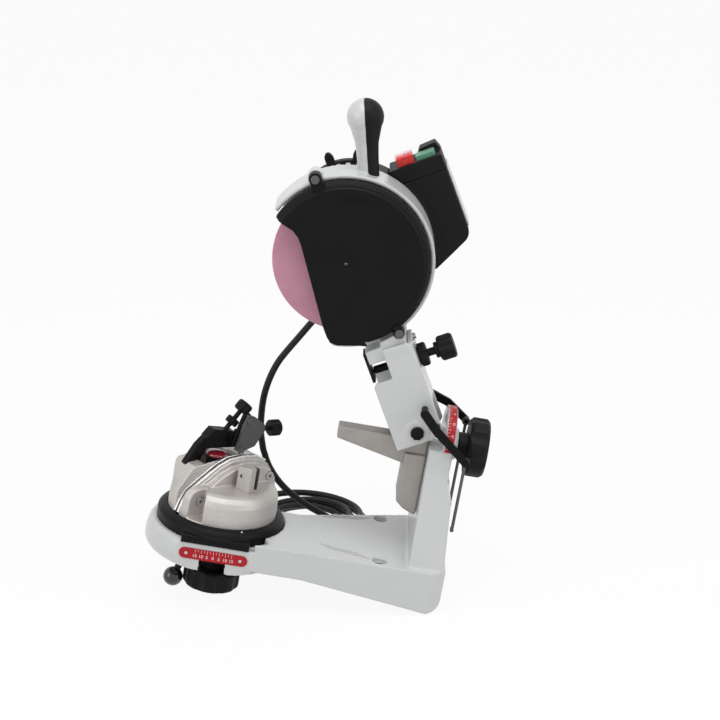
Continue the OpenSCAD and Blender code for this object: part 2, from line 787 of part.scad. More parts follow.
// Links to the chain clamp: a bent lever on each side of the arm, held off it by two spacers,
// and a rod that hangs from each lever's pin
rod_y = 36;
rod_x = 149.4;
rod_r = 1.6;
rod_foot_z = 37;
lever_in = 38.5;
lever_t = 4;
pin_r = 2;
near_pin_z = 111;
far_pin_z = 128.5;
near_corners = [[101, 155], [116, 139], [126, 131], [rod_x, near_pin_z]];
far_corners = [[96, 150], [110.5, 150], [128, 144], [rod_x, far_pin_z]];
module bent_lever(corners) {
    slab(-lever_in - lever_t, -lever_in) {
        for (i = [0 : 2]) hull() {
            translate(corners[i]) circle(r = 4.6 - i * 0.3);
            translate(corners[i + 1]) circle(r = 4.3 - i * 0.3);
        }
    }
    for (i = [0, 1]) translate([corners[i][0], 0, corners[i][1]]) y_bar(3.4, -lever_in - 0.5, -arm_w / 2);
    translate([corners[3][0], 0, corners[3][1]]) y_bar(pin_r, -lever_in - 0.5, -rod_y + rod_r + 0.6);
}
module near_lever() {
    stood() color([0.06, 0.06, 0.06]) bent_lever(near_corners);
}
module far_lever() {
    stood() color([0.06, 0.06, 0.06]) scale([1, -1, 1]) bent_lever(far_corners);
}
module rod_shape(top) {
    difference() {
        union() {
            translate([rod_x, 0, top]) y_bar(4.2, -rod_y - rod_r - 0.2, -rod_y + rod_r + 0.2);
            translate([rod_x, -rod_y, rod_foot_z]) cylinder(r = rod_r, h = top - rod_foot_z - 3);
        }
        translate([rod_x, 0, top]) y_bar(pin_r + run_gap, -rod_y - 5, -rod_y + 5);
    }
    // Hooked foot
    translate([rod_x, -rod_y, rod_foot_z]) sphere(r = rod_r + 0.4);
    translate([rod_x, 0, rod_foot_z]) y_bar(rod_r, -rod_y, -rod_y + 6);
}
module near_rod() {
    stood() color([0.45, 0.45, 0.47]) rod_shape(near_pin_z);
}
module far_rod() {
    stood() color([0.45, 0.45, 0.47]) scale([1, -1, 1]) rod_shape(far_pin_z);
}

// ---------------------------------------------------------------- head
housing_near = -12;
housing_far = 34;
guard_near = housing_near - guard_depth;
// The part of the guard's disc that is cut away, where the wheel works
window_line = [
    [-110, 52],
    [-77, 36.5],
    [-70, 31],
    [-56, 25],
    [-50, 19],
    [-46, 12],
    [-12.5, -64],
    [-6, -76],
    [-3, -79.5],
    [0, -120],
    [-110, -120]
];
window_share = housing_r / 86.5;
module wheel_window() {
    polygon(window_share * window_line);
}
ear_up = housing_r * [-0.4971, 0.9075];
ear_low = housing_r * [0.7237, -0.6798];
module guard_outline(r, inset) {
    difference() {
        union() {
            circle(r = r - inset, $fn = 120);
            for (share = [0.93, 1]) translate(ear_up * share) circle(r = 6.5 - inset);
            translate(ear_low) circle(r = 5.5 - inset);
            translate([-3, -80]) polygon([[0, 0], [8, -1.5], [38, 3], [20, 20], [0, 20]]);
        }
        offset(delta = inset) wheel_window();
    }
}
module wheel_guard() {
    at_wheel() color([0.06, 0.06, 0.065]) difference() {
        union() {
            slab(guard_near + 5, housing_near) guard_outline(guard_r, 0);
            slab(guard_near + 2, guard_near + 5.01) guard_outline(guard_r - 2.5, 0);
            slab(guard_near, guard_near + 2.01) guard_outline(guard_r - 6, 0);
        }
        slab(guard_near + guard_wall, housing_near + 1) guard_outline(guard_r - 6, guard_wall);
        for (p = [ear_up, ear_low]) translate([p[0], 0, p[1]]) y_bar(screw_r, guard_near - 1, 0);
        // Dimple over the wheel nut
        translate([0, guard_near, 0]) sphere(r = 3.2);
    }
}
module guard_screws() {
    at_wheel() color([0.12, 0.12, 0.13]) for (p = [ear_up, ear_low]) translate([p[0], 0, p[1]]) {
        y_bar(screw_r, guard_near - 0.5, housing_near + 8);
        y_bar(4.2, guard_near - 1.6, guard_near);
    }
}
handle_y = 11;
handle_x = 8.4;
handle_z = 80;
module handle_turned() {
    rotate_extrude() {
        polygon([
            [0, -6],
            [10.5, -6],
            [10.3, 10],
            [handle_neck_r - 0.7, 26],
            [handle_neck_r, 36],
            [handle_neck_r + 3, handle_len - 13],
            [handle_ball_r - 2.4, handle_len - 7.8],
            [handle_ball_r - 4, handle_len],
            [0, handle_len]
        ]);
        intersection() {
            translate([0, handle_len]) circle(r = handle_ball_r);
            translate([0, handle_len - 10]) square([40, 60]);
        }
    }
}
module at_handle() {
    translate([handle_x, handle_y, handle_z]) rotate([0, -handle_lean, 0]) children();
}
module wheel_housing() {
    color([0.78, 0.79, 0.79]) difference() {
        union() {
            at_wheel() {
                // Drum wall and back, open where the wheel works
                difference() {
                    union() {
                        y_bar(housing_r, housing_near, housing_far);
                        for (p = [ear_up, ear_low]) translate([p[0], 0, p[1]])
                            y_bar(7.5, housing_near, housing_near + 14);
                    }
                    y_bar(housing_r - housing_wall, housing_near - 1, housing_far - 6);
                    slab(housing_near - 1, housing_far + 1) offset(delta = 3) wheel_window();
                }
                // Front half of the handle, cast with the drum
                intersection() {
                    at_handle() difference() {
                        handle_turned();
                        translate([0, -50, -50]) cube([100, 100, 200]);
                    }
                    difference() {
                        translate([-100, -100, 0]) cube([200, 200, 300]);
                        y_bar(housing_r - housing_wall, -100, 100);
                    }
                }
                // Boss of the front bearing
                y_bar(24, housing_far - 12, housing_far);
            }
            // Foot between the arm's plates, with the bracket at its front
            at_arm() difference() {
                union() {
                    translate([-5, -inner_half, foot_u]) cube([25, 2 * inner_half, wheel_u - 0.76 * housing_r - foot_u]);
                    translate([-22, -20, 80]) cube([22, 26, 14]);
                }
                translate([wheel_v, 0, wheel_u]) y_bar(housing_r - 1, housing_near - 30, housing_far + 10);
            }
        }
        // Bearing, shaft and guard screws
        at_wheel() {
            y_bar(16, housing_far - 9, housing_far + 10);
            y_bar(12, 0, housing_far + 10);
            for (p = [ear_up, ear_low]) translate([p[0], 0, p[1]]) y_bar(screw_r, housing_near - 1, housing_near + 9);
            // Room for the guard's lower ear in front of the foot
            translate([ear_low[0], 0, ear_low[1]]) y_bar(6, guard_near - 1, housing_near);
        }
        // Depth screw and arm bolts
        at_arm() {
            translate([0, 0, depth_screw_u]) x_bar(depth_screw_d / 2 + 1, -30, 40);
            for (y = arm_bolt_y) translate([0, y, arm_bolt_u]) x_bar(3, 5, 40);
        }
    }
}
wheel_u = wheel_reach * cos(reach_lean - arm_lean);
wheel_v = -wheel_reach * sin(reach_lean - arm_lean);
module handle_grip() {
    at_wheel() color([0.08, 0.08, 0.085]) difference() {
        at_handle() difference() {
            handle_turned();
            translate([-100, -50, -50]) cube([100, 100, 200]);
        }
        y_bar(housing_r, -100, 100);
    }
}
module grinding_wheel() {
    at_wheel() color([0.82, 0.55, 0.64]) difference() {
        turned_y() polygon([
            [5, -wheel_t / 2],
            [wheel_d / 2 - 1, -wheel_t / 2],
            [wheel_d / 2, -wheel_t / 2 + 1],
            [wheel_d / 2, wheel_t / 2 - 1],
            [wheel_d / 2 - 1, wheel_t / 2],
            [5, wheel_t / 2]
        ]);
        y_bar(wheel_bore / 2, -10, 10);
    }
}
flange_t = 5;
module wheel_flanges() {
    at_wheel() color([0.6, 0.6, 0.62]) for (side = [-1, 1]) difference() {
        union() {
            scale([1, side, 1]) y_bar(24, wheel_t / 2, wheel_t / 2 + flange_t);
            if (side > 0) y_bar(wheel_bore / 2, -wheel_t / 2, wheel_t / 2 + 1);
        }
        y_bar(6, -20, 20);
    }
}
module wheel_nut() {
    at_wheel() color([0.55, 0.55, 0.57]) difference() {
        translate([0, -wheel_t / 2 - flange_t, 0]) rotate([90, 0, 0]) cylinder(r = 10, h = 7, $fn = 6);
        y_bar(6, -30, 20);
    }
}
rear_bearing_y = motor_end_y - 18;
module motor_shaft() {
    at_wheel() color([0.55, 0.55, 0.57]) {
        y_bar(6, -wheel_t / 2 - flange_t - 8, wheel_t / 2 + flange_t);
        y_bar(shaft_r, wheel_t / 2 + flange_t, rear_bearing_y + 9);
        y_bar(10, wheel_t / 2 + flange_t, housing_far - 10);
    }
}
module bearing(y0) {
    difference() {
        y_bar(16, y0, y0 + 9);
        y_bar(shaft_r + run_gap, y0 - 1, y0 + 10);
    }
}
module bearings() {
    at_wheel() color([0.65, 0.65, 0.67]) {
        bearing(housing_far - 9);
        bearing(rear_bearing_y);
    }
}
stack_near = 92;
stack_far = 156;
stator_r = 44;
rotor_r = 27;
module rotor() {
    at_wheel() color([0.4, 0.4, 0.42]) difference() {
        y_bar(rotor_r, stack_near, stack_far);
        y_bar(shaft_r, 0, 300);
    }
}
module stator() {
    at_wheel() color([0.5, 0.32, 0.2]) difference() {
        y_bar(stator_r, stack_near, stack_far);
        y_bar(rotor_r + 0.6, 60, 200);
    }
}
case_far = motor_end_y - 22;
module motor_case() {
    at_wheel() color([0.72, 0.72, 0.72]) difference() {
        union() {
            y_bar(motor_r - 4.5, housing_far, case_far);
            for (i = [0 : rib_count - 1]) rotate([0, i * 360 / rib_count, 0])
                translate([-2.3, housing_far + 8, motor_r - 7]) cube([4.6, case_far - housing_far - 12, 7]);
            // Boss of the lead's strain relief
            at_gland() translate([0, 0, -6]) cylinder(r = 12.3, h = 10);
        }
        y_bar(stator_r, housing_far + 6, case_far + 1);
        y_bar(12, 0, 300);
        at_gland() cylinder(r = gland_r, h = 20);
        at_gland() translate([0, 0, -20]) cylinder(r = 4, h = 40);
    }
}
// Frame of the strain relief: z outwards from the motor, down and a little to the front.
gland_y = 78;
gland_r = 9;
gland_tilt = 28;
gland_in = [3.5, -46];
module at_gland() {
    translate([gland_in[0], gland_y, gland_in[1]]) rotate([0, 180 + gland_tilt, 0]) children();
}
module end_cover() {
    at_wheel() color([0.05, 0.05, 0.05]) difference() {
        union() {
            turned_y() polygon([
                [0, case_far],
                [motor_r + 2, case_far],
                [motor_r + 2, motor_end_y - 10],
                [motor_r - 6, motor_end_y - 2],
                [motor_r - 12, motor_end_y],
                [0, motor_end_y]
            ]);
            // Ears of the through bolts
            for (a = [2, 32, 182, 212]) rotate([0, -a, 0])
                translate([0, case_far, motor_r + 6]) scale([1, 1, 1.6]) y_bar(5, 0, 7);
        }
        turned_y() polygon([
            [0, case_far - 1],
            [44, case_far - 1],
            [44, motor_end_y - 12],
            [34, motor_end_y - 4],
            [20, motor_end_y - 4],
            [20, rear_bearing_y],
            [0, rear_bearing_y]
        ]);
        y_bar(16, rear_bearing_y - 1, rear_bearing_y + 9);
    }
}
module motor_fan() {
    at_wheel() color([0.15, 0.15, 0.16]) difference() {
        union() {
            y_bar(12, 184, 196);
            for (i = [0 : 7]) rotate([0, i * 45, 0]) translate([-1, 184, 8]) cube([2, 10, 28]);
        }
        y_bar(shaft_r, 0, 300);
    }
}
box_left = 66;
box_right = box_left + box_len;
box_near = housing_far + 2;
box_seam = 43;
box_top = box_seam + lid_h;
box_bottom = -50;
box_corner = 13;
cover_left = 14;
// The part of the housing's disc that the cover takes up, on the switch box's side of the motor
module cover_outline(inset) {
    intersection() {
        circle(r = housing_r - 0.5 - inset);
        translate([cover_left + inset, -housing_r]) square([housing_r, 2 * housing_r]);
    }
}
module motor_cover() {
    // Black cover at the motor's near end, widened to the switch box
    at_wheel() color([0.07, 0.07, 0.075]) difference() {
        union() {
            slab(housing_far, housing_far + 34) cover_outline(0);
            rotate([0, -box_lean, 0]) slab(box_near, box_near + box_deep) polygon(concat(
                [[box_left - 4, box_seam], [box_right, box_seam]],
                [for (a = [0 : 16 : 64]) [box_right - box_corner * (1 - cos(a)), -21 - box_corner * sin(a)]],
                [[76, box_bottom], [50, box_bottom + 10], [40, box_seam]]
            ));
        }
        y_bar(motor_r - 4.5, housing_far - 1, housing_far + 6);
        slab(housing_far + 3, housing_far + 31) cover_outline(3.5);
        y_bar(motor_r + 0.2, housing_far + 5, housing_far + 60);
        // Seat of the lid
        rotate([0, -box_lean, 0]) translate([box_left - 0.2, box_near - 5, box_seam])
            cube([box_len + 5, box_deep + 10, 40]);
        // Seat of the switch
        rotate([0, -box_lean, 0]) translate([box_left + 6, box_near + 3, box_seam - 12])
            cube([box_len - 9, box_deep - 6, 20]);
        // Inside of the switch box
        rotate([0, -box_lean, 0]) translate([box_left + 24, box_near + 3, -16])
            cube([box_len - 27, box_deep - 6, box_seam + 17]);
    }
}
module switch_lid() {
    at_box() color([0.07, 0.07, 0.075]) {
        difference() {
            translate([box_left, box_near, box_seam]) cube([box_len, box_deep, lid_h]);
            translate([box_left + 3, box_near + 3, box_seam - 1]) cube([box_len - 6, box_deep - 6, lid_h - 2]);
            translate([stop_x0 - 0.4, stop_y0 - 0.4, box_seam]) cube([stop_w + 0.8, button_deep + 0.8, 40]);
            translate([start_x0 - 0.4, stop_y0 - 0.4, box_seam]) cube([start_w + 0.8, button_deep + 0.8, 40]);
        }
        // Raised hood behind the start button
        slab(stop_y0 + button_deep + 1.5, box_near + box_deep) polygon([
            [start_x0 + 1, box_top], [start_x0 + 6, box_top + 7], [box_right - 3, box_top + 8], [box_right, box_top]
        ]);
    }
}
stop_x0 = 75.5;
stop_y0 = housing_far + 8;
stop_w = 16.5;
start_x0 = 94.5;
start_w = 19.5;
button_deep = 17;
module stop_button() {
    at_box() color([0.8, 0.06, 0.05]) translate([stop_x0, stop_y0, box_top - 6]) cube([stop_w, button_deep, 14]);
}
module start_button() {
    at_box() color([0.12, 0.45, 0.28]) translate([start_x0, stop_y0, box_top - 6]) cube([start_w, button_deep, 10.5]);
}
module switch_body() {
    at_box() color([0.2, 0.2, 0.21]) translate([stop_x0, stop_y0 - 1, box_seam - 12])
        cube([start_x0 + start_w - stop_x0, button_deep + 2, lid_h + 12 - 6 - button_travel - 0.5]);
}
module switch_plate() {
    at_box() color([0.75, 0.75, 0.75]) translate([box_right, box_near + 8, -20]) cube([1.6, box_deep - 10, box_seam + 21]);
}
// ---------------------------------------------------------------- mains lead
// Everything here is placed on the table's frame, in which z = 0 is the table.
function on_table(p) = [
    -middle_x + p[0] * cos(stance) + p[2] * sin(stance),
    -middle_y + p[1],
    -table_z - p[0] * sin(stance) + p[2] * cos(stance)
];
gland_len = 30;
gland_flange = 6;
module lead_gland() {
    // Tapered strain relief of the lead, in a boss under the motor
    at_wheel() at_gland() color([0.05, 0.05, 0.05]) {
        cylinder(r = gland_r, h = gland_flange);
        translate([0, 0, gland_flange]) cylinder(r1 = 7, r2 = lead_d / 2 + 1, h = gland_len);
    }
}
lead_tip = on_table([
    gland_in[0] - (gland_flange + gland_len) * sin(gland_tilt),
    gland_y,
    wheel_z + gland_in[1] - (gland_flange + gland_len) * cos(gland_tilt)
]);
gland_way = [-sin(gland_tilt + stance), 0, -cos(gland_tilt + stance)];
coil_x = -16;
coil_y = 84;
coil_r = 64;
coil_step = 12;
lead_r = lead_d / 2;
// Route of the free stretch below the strain relief: the bow down past the vise, then round behind the tray.
lead_route = [
    [-12, 1.3, 254.5], [-21, 1.7, 243.5], [-31, 2, 231.5], [-42, 2, 217], [-51, 2, 199], [-57, 2, 180], [-60, 3, 160], [-61, 4, 140],
    [-59, 6, 120], [-54, 8, 102], [-46, 10, 86], [-36, 11, 73], [-24, 11, 62], [-11, 10, 53], [3, 9, 45],
    [17, 9, 36], [30, 12, 26], [40, 19, 16], [46, 31, 8], [48, 45, 4], [48, 60, lead_r]
];
function unit(v) = v / norm(v);
function route_points() = concat(
    [lead_tip, lead_tip + gland_way * lead_d, lead_tip + gland_way * 2 * lead_d],
    lead_route,
    [[coil_x + coil_r, coil_y - lead_d, lead_r], [coil_x + coil_r, coil_y, lead_r]]
);
function way_at(points, i) = unit(points[min(i + 1, len(points) - 1)] - points[max(i - 1, 0)]);
// One ring of a tube, square to its way; its side vectors lean on a fixed direction that the way never takes.
function ring(point, way, lean, sides, r) =
    let (a = unit(cross(way, lean)), b = cross(way, a))
    [for (k = [0 : sides - 1]) point + r * (a * cos(k * 360 / sides) + b * sin(k * 360 / sides))];
module tube(points, ways, lean, sides, r) {
    last = len(points) - 1;
    rings = [for (i = [0 : last]) each ring(points[i], ways[i], lean, sides, r)];
    polyhedron(
        points = concat(rings, [points[0], points[last]]),
        faces = concat(
            [for (i = [0 : last - 1]) for (k = [0 : sides - 1]) each
                let (n = (k + 1) % sides, p = i * sides, q = (i + 1) * sides)
                [[p + k, q + k, q + n], [p + k, q + n, p + n]]],
            [for (k = [0 : sides - 1]) [len(rings), k, (k + 1) % sides]],
            [for (k = [0 : sides - 1]) [len(rings) + 1, last * sides + (k + 1) % sides, last * sides + k]]
        )
    );
}
free_points = route_points();
free_last = len(free_points) - 1;
free_ways = concat(
    [gland_way],
    [for (i = [1 : free_last - 1]) way_at(free_points, i)],
    [[0, 1, 0]]
);
module lead_free() {
    color([0.05, 0.05, 0.05]) tube(free_points, free_ways, [0.15, 1, -0.35], 8, lead_r);
}
// The coil: two layers of loops, spiralling in and out again, and a last rise to the plug.
loop_rings = 24;
turns_in = 2;
turns_out = 2;
layer_rise = lead_d + 0.7;
plug_axis_z = 18.5;
all_turns = turns_in + 0.5 + turns_out;
function eased(t) = let (c = min(max(t, 0), 1)) c * c * (3 - 2 * c);
function coil_radius(t) = coil_r - coil_step * min(t, turns_in) + coil_step * max(t - turns_in - 0.5, 0);
function coil_height(t) =
    lead_r + layer_rise * eased((t - turns_in) / 0.5)
    + (plug_axis_z - lead_r - layer_rise) * eased((t - all_turns + 0.4) / 0.35);
function coil_point(t) = [
    coil_x + coil_radius(t) * cos(t * 360),
    coil_y + coil_radius(t) * sin(t * 360),
    coil_height(t)
];
coil_count = round(all_turns * loop_rings);
coil_loops = [for (i = [0 : coil_count]) coil_point(i * all_turns / coil_count)];
coil_end = coil_loops[coil_count] + [0, -lead_d, 0];
coil_points = concat(coil_loops, [coil_end]);
coil_ways = concat(
    [[0, 1, 0]],
    [for (i = [1 : coil_count - 1]) way_at(coil_points, i)],
    [[0, -1, 0], [0, -1, 0]]
);
function run(points, i = 0) = i >= len(points) - 1 ? 0 : norm(points[i + 1] - points[i]) + run(points, i + 1);
coil_gap = min([
    for (i = [0 : coil_count]) for (j = [i + loop_rings / 2 : coil_count])
        norm(coil_loops[i] - coil_loops[j])
]) - lead_d;
echo(coil_least_gap = coil_gap, free_length = run(free_points), coil_length = run(coil_points));
module lead_coil() {
    color([0.05, 0.05, 0.05]) tube(coil_points, coil_ways, [0.02, 0.03, 1], 6, lead_r);
}
module mains_plug() {
    // Moulded two-pin plug at the end of the coil
    translate(coil_end) rotate([90, 0, 0]) color([0.06, 0.06, 0.06]) {
        rotate_extrude() polygon([
            [0, 0],
            [lead_r + 1, 0],
            [6.5, 18],
            [9, 20],
            [16, 34],
            [18.4, 38],
            [18.4, 52],
            [0, 52]
        ]);
        for (side = [-1, 1]) translate([side * 9.5, 0, 51]) cylinder(r = 2.4, h = 20);
    }
}

base_casting();
vise_scale();
scale_rivets();
tilt_scale();
turntable_ring();
vise_casting();
fixed_rail();
moving_rail();
slotted_block();
rail_screws();
vise_stud();
clamp_lever();
lever_ball();
lock_knob();
stop_bracket();
length_screw();
length_nut();
pawl();
pawl_pin();
height_screw();
hold_down_knob();
hold_down_cap();
tilt_support();
tilt_stud();
pivot_pin();
tilt_knob();
swing_arm();
arm_bolts();
front_strip();
depth_screw();
depth_nut();
return_spring();
near_lever();
far_lever();
near_rod();
far_rod();
wheel_guard();
guard_screws();
wheel_housing();
handle_grip();
grinding_wheel();
wheel_flanges();
wheel_nut();
motor_shaft();
bearings();
rotor();
stator();
motor_case();
end_cover();
motor_cover();
switch_lid();
stop_button();
start_button();
switch_body();
switch_plate();
motor_fan();
lead_gland();
lead_free();
lead_coil();
mains_plug();
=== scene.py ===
import json
import math
import bmesh
import bpy
from mathutils import Matrix, Vector


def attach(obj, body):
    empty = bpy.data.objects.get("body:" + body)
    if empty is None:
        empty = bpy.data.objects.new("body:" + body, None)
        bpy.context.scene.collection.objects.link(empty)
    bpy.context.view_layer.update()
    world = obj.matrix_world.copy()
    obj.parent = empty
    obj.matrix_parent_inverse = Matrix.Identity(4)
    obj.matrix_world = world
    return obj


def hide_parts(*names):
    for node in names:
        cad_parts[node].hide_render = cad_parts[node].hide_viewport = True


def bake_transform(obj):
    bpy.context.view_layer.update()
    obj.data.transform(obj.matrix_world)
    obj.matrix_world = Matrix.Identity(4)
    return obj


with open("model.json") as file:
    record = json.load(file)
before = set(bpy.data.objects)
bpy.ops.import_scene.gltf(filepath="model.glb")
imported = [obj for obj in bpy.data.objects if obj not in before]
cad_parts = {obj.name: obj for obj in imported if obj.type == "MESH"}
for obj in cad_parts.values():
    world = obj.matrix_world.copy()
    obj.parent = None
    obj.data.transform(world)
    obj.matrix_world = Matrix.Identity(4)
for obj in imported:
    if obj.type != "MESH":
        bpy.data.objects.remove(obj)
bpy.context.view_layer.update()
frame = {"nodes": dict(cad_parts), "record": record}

# ------------------------------------------------------------------ camera
# The viewpoint that the photograph was taken from: a long lens, a little above the grinder and almost
# square to the grinding wheel.
view = bpy.data.cameras.new("view")
view.lens = 100
view.sensor_width = 36
view.clip_start = 0.05
view.clip_end = 60
camera = bpy.data.objects.new("view", view)
camera.location = (0.0702, -1.9592, 0.8649)
camera.rotation_euler = (math.radians(71.8), 0, math.radians(0.8))
bpy.context.scene.collection.objects.link(camera)
bpy.context.scene.camera = camera


# ------------------------------------------------------------------ mains lead
# A round two-core rubber lead of 7 mm. It leaves the motor through a tapered relief, hangs in one bow
# behind the vise, and lies in flat loops on the table behind the tray, with its plug at the end.
class Wire:
    """A value of a finish. Arithmetic on it adds the Math nodes."""

    def __init__(self, tree, socket=None):
        self.tree = tree
        self.socket = socket

    def node(self, kind, settings=None, inputs=None, output=0):
        """A new node with its settings and inputs, as the value of one of its outputs."""
        made = self.tree.nodes.new("ShaderNode" + kind)
        for key, value in (settings or {}).items():
            setattr(made, key, value)
        for key, value in (inputs or {}).items():
            if isinstance(value, Wire):
                self.tree.links.new(value.socket, made.inputs[key])
            else:
                made.inputs[key].default_value = value
        return Wire(self.tree, made.outputs[output])

    def math(self, operation, first, second):
        return self.node("Math", {"operation": operation}, {0: first, 1: second})

    def __add__(self, other):
        return self.math("ADD", self, other)

    def __mul__(self, other):
        return self.math("MULTIPLY", self, other)

    def __rsub__(self, other):
        return self.math("SUBTRACT", other, self)

    def above(self, edge):
        """1 where this value is over the edge, and else 0."""
        return self.math("GREATER_THAN", self, edge)

    __radd__ = __add__
    __rmul__ = __mul__


class Finish:
    """One finish: its shader, and the patterns that vary over the surface."""

    def __init__(self, name, colour, roughness, metallic=0.0, others=None):
        self.material = bpy.data.materials.new(name)
        self.material.use_nodes = True
        self.tree = self.material.node_tree
        self.shader = self.tree.nodes["Principled BSDF"]
        self.shader.inputs["Base Color"].default_value = (*colour, 1)
        self.shader.inputs["Roughness"].default_value = roughness
        self.shader.inputs["Metallic"].default_value = metallic
        for key, value in (others or {}).items():
            self.shader.inputs[key].default_value = value
        self.wire = Wire(self.tree)
        self.place = self.wire.node("TexCoord", output="Object")

    def noise(self, scale, detail=2.0, rough=0.5, stretch=None):
        place = self.place
        if stretch:
            place = self.wire.node("Mapping", {}, {"Vector": place, "Scale": stretch})
        return self.wire.node(
            "TexNoise", {}, {"Vector": place, "Scale": scale, "Detail": detail, "Roughness": rough}
        )

    def mixed(self, factor, first, second):
        """A colour between two colours."""
        return self.wire.node(
            "Mix", {"data_type": "RGBA"}, {0: factor, 6: (*first, 1), 7: (*second, 1)}, 2
        )

    def over(self, factor, below, colour):
        """A colour laid over a colour that already varies."""
        return self.wire.node("Mix", {"data_type": "RGBA"}, {0: factor, 6: below, 7: (*colour, 1)}, 2)

    def feed(self, name, wire):
        """Puts a varying value on one of the shader's inputs."""
        self.tree.links.new(wire.socket, self.shader.inputs[name])

    def relief(self, height, strength, depth):
        """A fine bump from a height, with its depth in metres."""
        self.feed(
            "Normal",
            self.wire.node("Bump", {}, {"Strength": strength, "Distance": depth, "Height": height}),
        )


MM = 0.001
lead_mm = 7
lead_diameter = lead_mm * MM
lead_rubber = Finish("lead rubber", (0.012, 0.012, 0.012), 0.42, others={"Specular IOR Level": 0.2})
lead_grain = lead_rubber.noise(420, 3)
lead_rubber.feed("Roughness", lead_grain * 0.18 + 0.34)
lead_rubber.relief(lead_grain, 0.15, 0.0003)

lead_tip = (4.42, 1, 275.17)
bow_route = [
    lead_tip, (0.14, 1, 269.6), (-4.1, 1, 264.1), (-12, 1.3, 254.5), (-21, 1.7, 243.5), (-31, 2, 231.5),
    (-42, 2, 217), (-51, 2, 199), (-57, 2, 180), (-60, 3, 160), (-61, 4, 140), (-59, 6, 120),
]
tail_route = [
    (-59, 6, 120), (-54, 8, 102), (-46, 10, 86), (-36, 11, 73), (-24, 11, 62), (-11, 10, 53), (3, 9, 45),
    (17, 9, 36), (30, 12, 26), (40, 19, 16), (46, 31, 8), (48, 45, 4), (48, 60, lead_mm / 2),
    (48, 77, lead_mm / 2),
]
coil_middle = (-16, 84)
coil_radius = 64
coil_step = 12
turns_in = 2
turns_out = 2
crossing = 0.5
all_turns = turns_in + crossing + turns_out
layer_rise = 7.7
plug_height = 18.5
plug_rise_start = 0.4
plug_rise = 0.35
steps_per_turn = 24


def eased(share):
    """A share from 0 to 1 that starts and ends softly."""
    held = min(max(share, 0), 1)
    return held * held * (3 - 2 * held)


def coil_point(turns):
    """A point of the loops: they spiral in, cross over, spiral out on top, and rise to the plug."""
    steps_out = max(turns - turns_in - crossing, 0)
    radius = coil_radius - coil_step * min(turns, turns_in) + coil_step * steps_out
    height = lead_mm / 2 + layer_rise * eased((turns - turns_in) / crossing)
    last_rise = plug_height - lead_mm / 2 - layer_rise
    height += last_rise * eased((turns - all_turns + plug_rise_start) / plug_rise)
    angle = turns * 2 * math.pi
    return (coil_middle[0] + radius * math.cos(angle), coil_middle[1] + radius * math.sin(angle), height)


coil_steps = int(all_turns * steps_per_turn)
coil_route = [coil_point(i / steps_per_turn) for i in range(coil_steps + 1)]
last = coil_route[-1]
coil_route.append((last[0], last[1] - lead_mm, last[2]))


def smooth_line(points, between):
    """The points with a Catmull-Rom curve's points between them, in metres."""
    line = [Vector(p) * MM for p in points]
    ends = [line[0] * 2 - line[1], *line, line[-1] * 2 - line[-2]]
    out = []
    for i in range(1, len(ends) - 2):
        p, q, r, s = ends[i - 1 : i + 3]
        for k in range(between):
            t = k / between
            bend = (2 * p - 5 * q + 4 * r - s) * t * t + (3 * q - p - 3 * r + s) * t ** 3
            out.append(0.5 * (2 * q + (r - p) * t + bend))
    return out + [line[-1]]


def tube(name, line, radius, sides=16):
    """A round tube along a line of points, as a mesh with closed ends."""
    track = bpy.data.curves.new(name, "CURVE")
    track.dimensions = "3D"
    track.bevel_depth = radius
    track.bevel_resolution = sides // 4
    track.use_fill_caps = True
    spline = track.splines.new("POLY")
    spline.points.add(len(line) - 1)
    for point, place in zip(spline.points, line):
        point.co = (*place, 1)
    shape = bpy.data.objects.new(name, track)
    bpy.context.scene.collection.objects.link(shape)
    mesh = bpy.data.meshes.new_from_object(shape.evaluated_get(bpy.context.evaluated_depsgraph_get()))
    bpy.data.objects.remove(shape)
    mesh.name = name
    piece = bpy.data.objects.new(name, mesh)
    bpy.context.scene.collection.objects.link(piece)
    for face in mesh.polygons:
        face.use_smooth = True
    return piece


def length_of(line):
    """The length of a line of points."""
    return sum((b - a).length for a, b in zip(line, line[1:]))


bow_line = smooth_line(bow_route, 4)
bow = tube("lead_bow", bow_line, lead_diameter / 2)
bow.data.materials.append(lead_rubber.material)
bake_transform(bow)
tail_line = smooth_line(tail_route, 4)[:-1] + smooth_line([tail_route[-1]] + coil_route, 2)
tail = tube("lead_tail", tail_line, lead_diameter / 2)
tail.data.materials.append(lead_rubber.material)
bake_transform(tail)
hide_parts("lead_free")
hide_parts("lead_free", "lead_coil")
length_of(bow_line)

# ------------------------------------------------------------------ pieces taken over from the solids
# Castings are blasted, so their edges and inside corners are soft: the solid is closed over with an even
# skin and relaxed. Machined, pressed and moulded pieces keep their shape and get a small rounded edge.
body_of_node = {
    node: body for body, nodes in frame["record"]["behaviour"]["bodies"].items() for node in nodes
}


def merged(node):
    """A copy of a node's mesh with its loose triangles joined up."""
    mesh = frame["nodes"][node].data.copy()
    if "custom_normal" in mesh.attributes:
        mesh.attributes.remove(mesh.attributes["custom_normal"])
    form = bmesh.new()
    form.from_mesh(mesh)
    bmesh.ops.remove_doubles(form, verts=form.verts, dist=0.00001)
    return form


def stand_for(form, node, finish):
    """Makes the form the piece that is seen in a node's place."""
    mesh = bpy.data.meshes.new(node + "_seen")
    form.to_mesh(mesh)
    form.free()
    mesh.materials.append(finish.material)
    piece = bpy.data.objects.new(node + "_seen", mesh)
    bpy.context.scene.collection.objects.link(piece)
    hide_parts(node)
    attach(piece, body_of_node[node])
    return piece


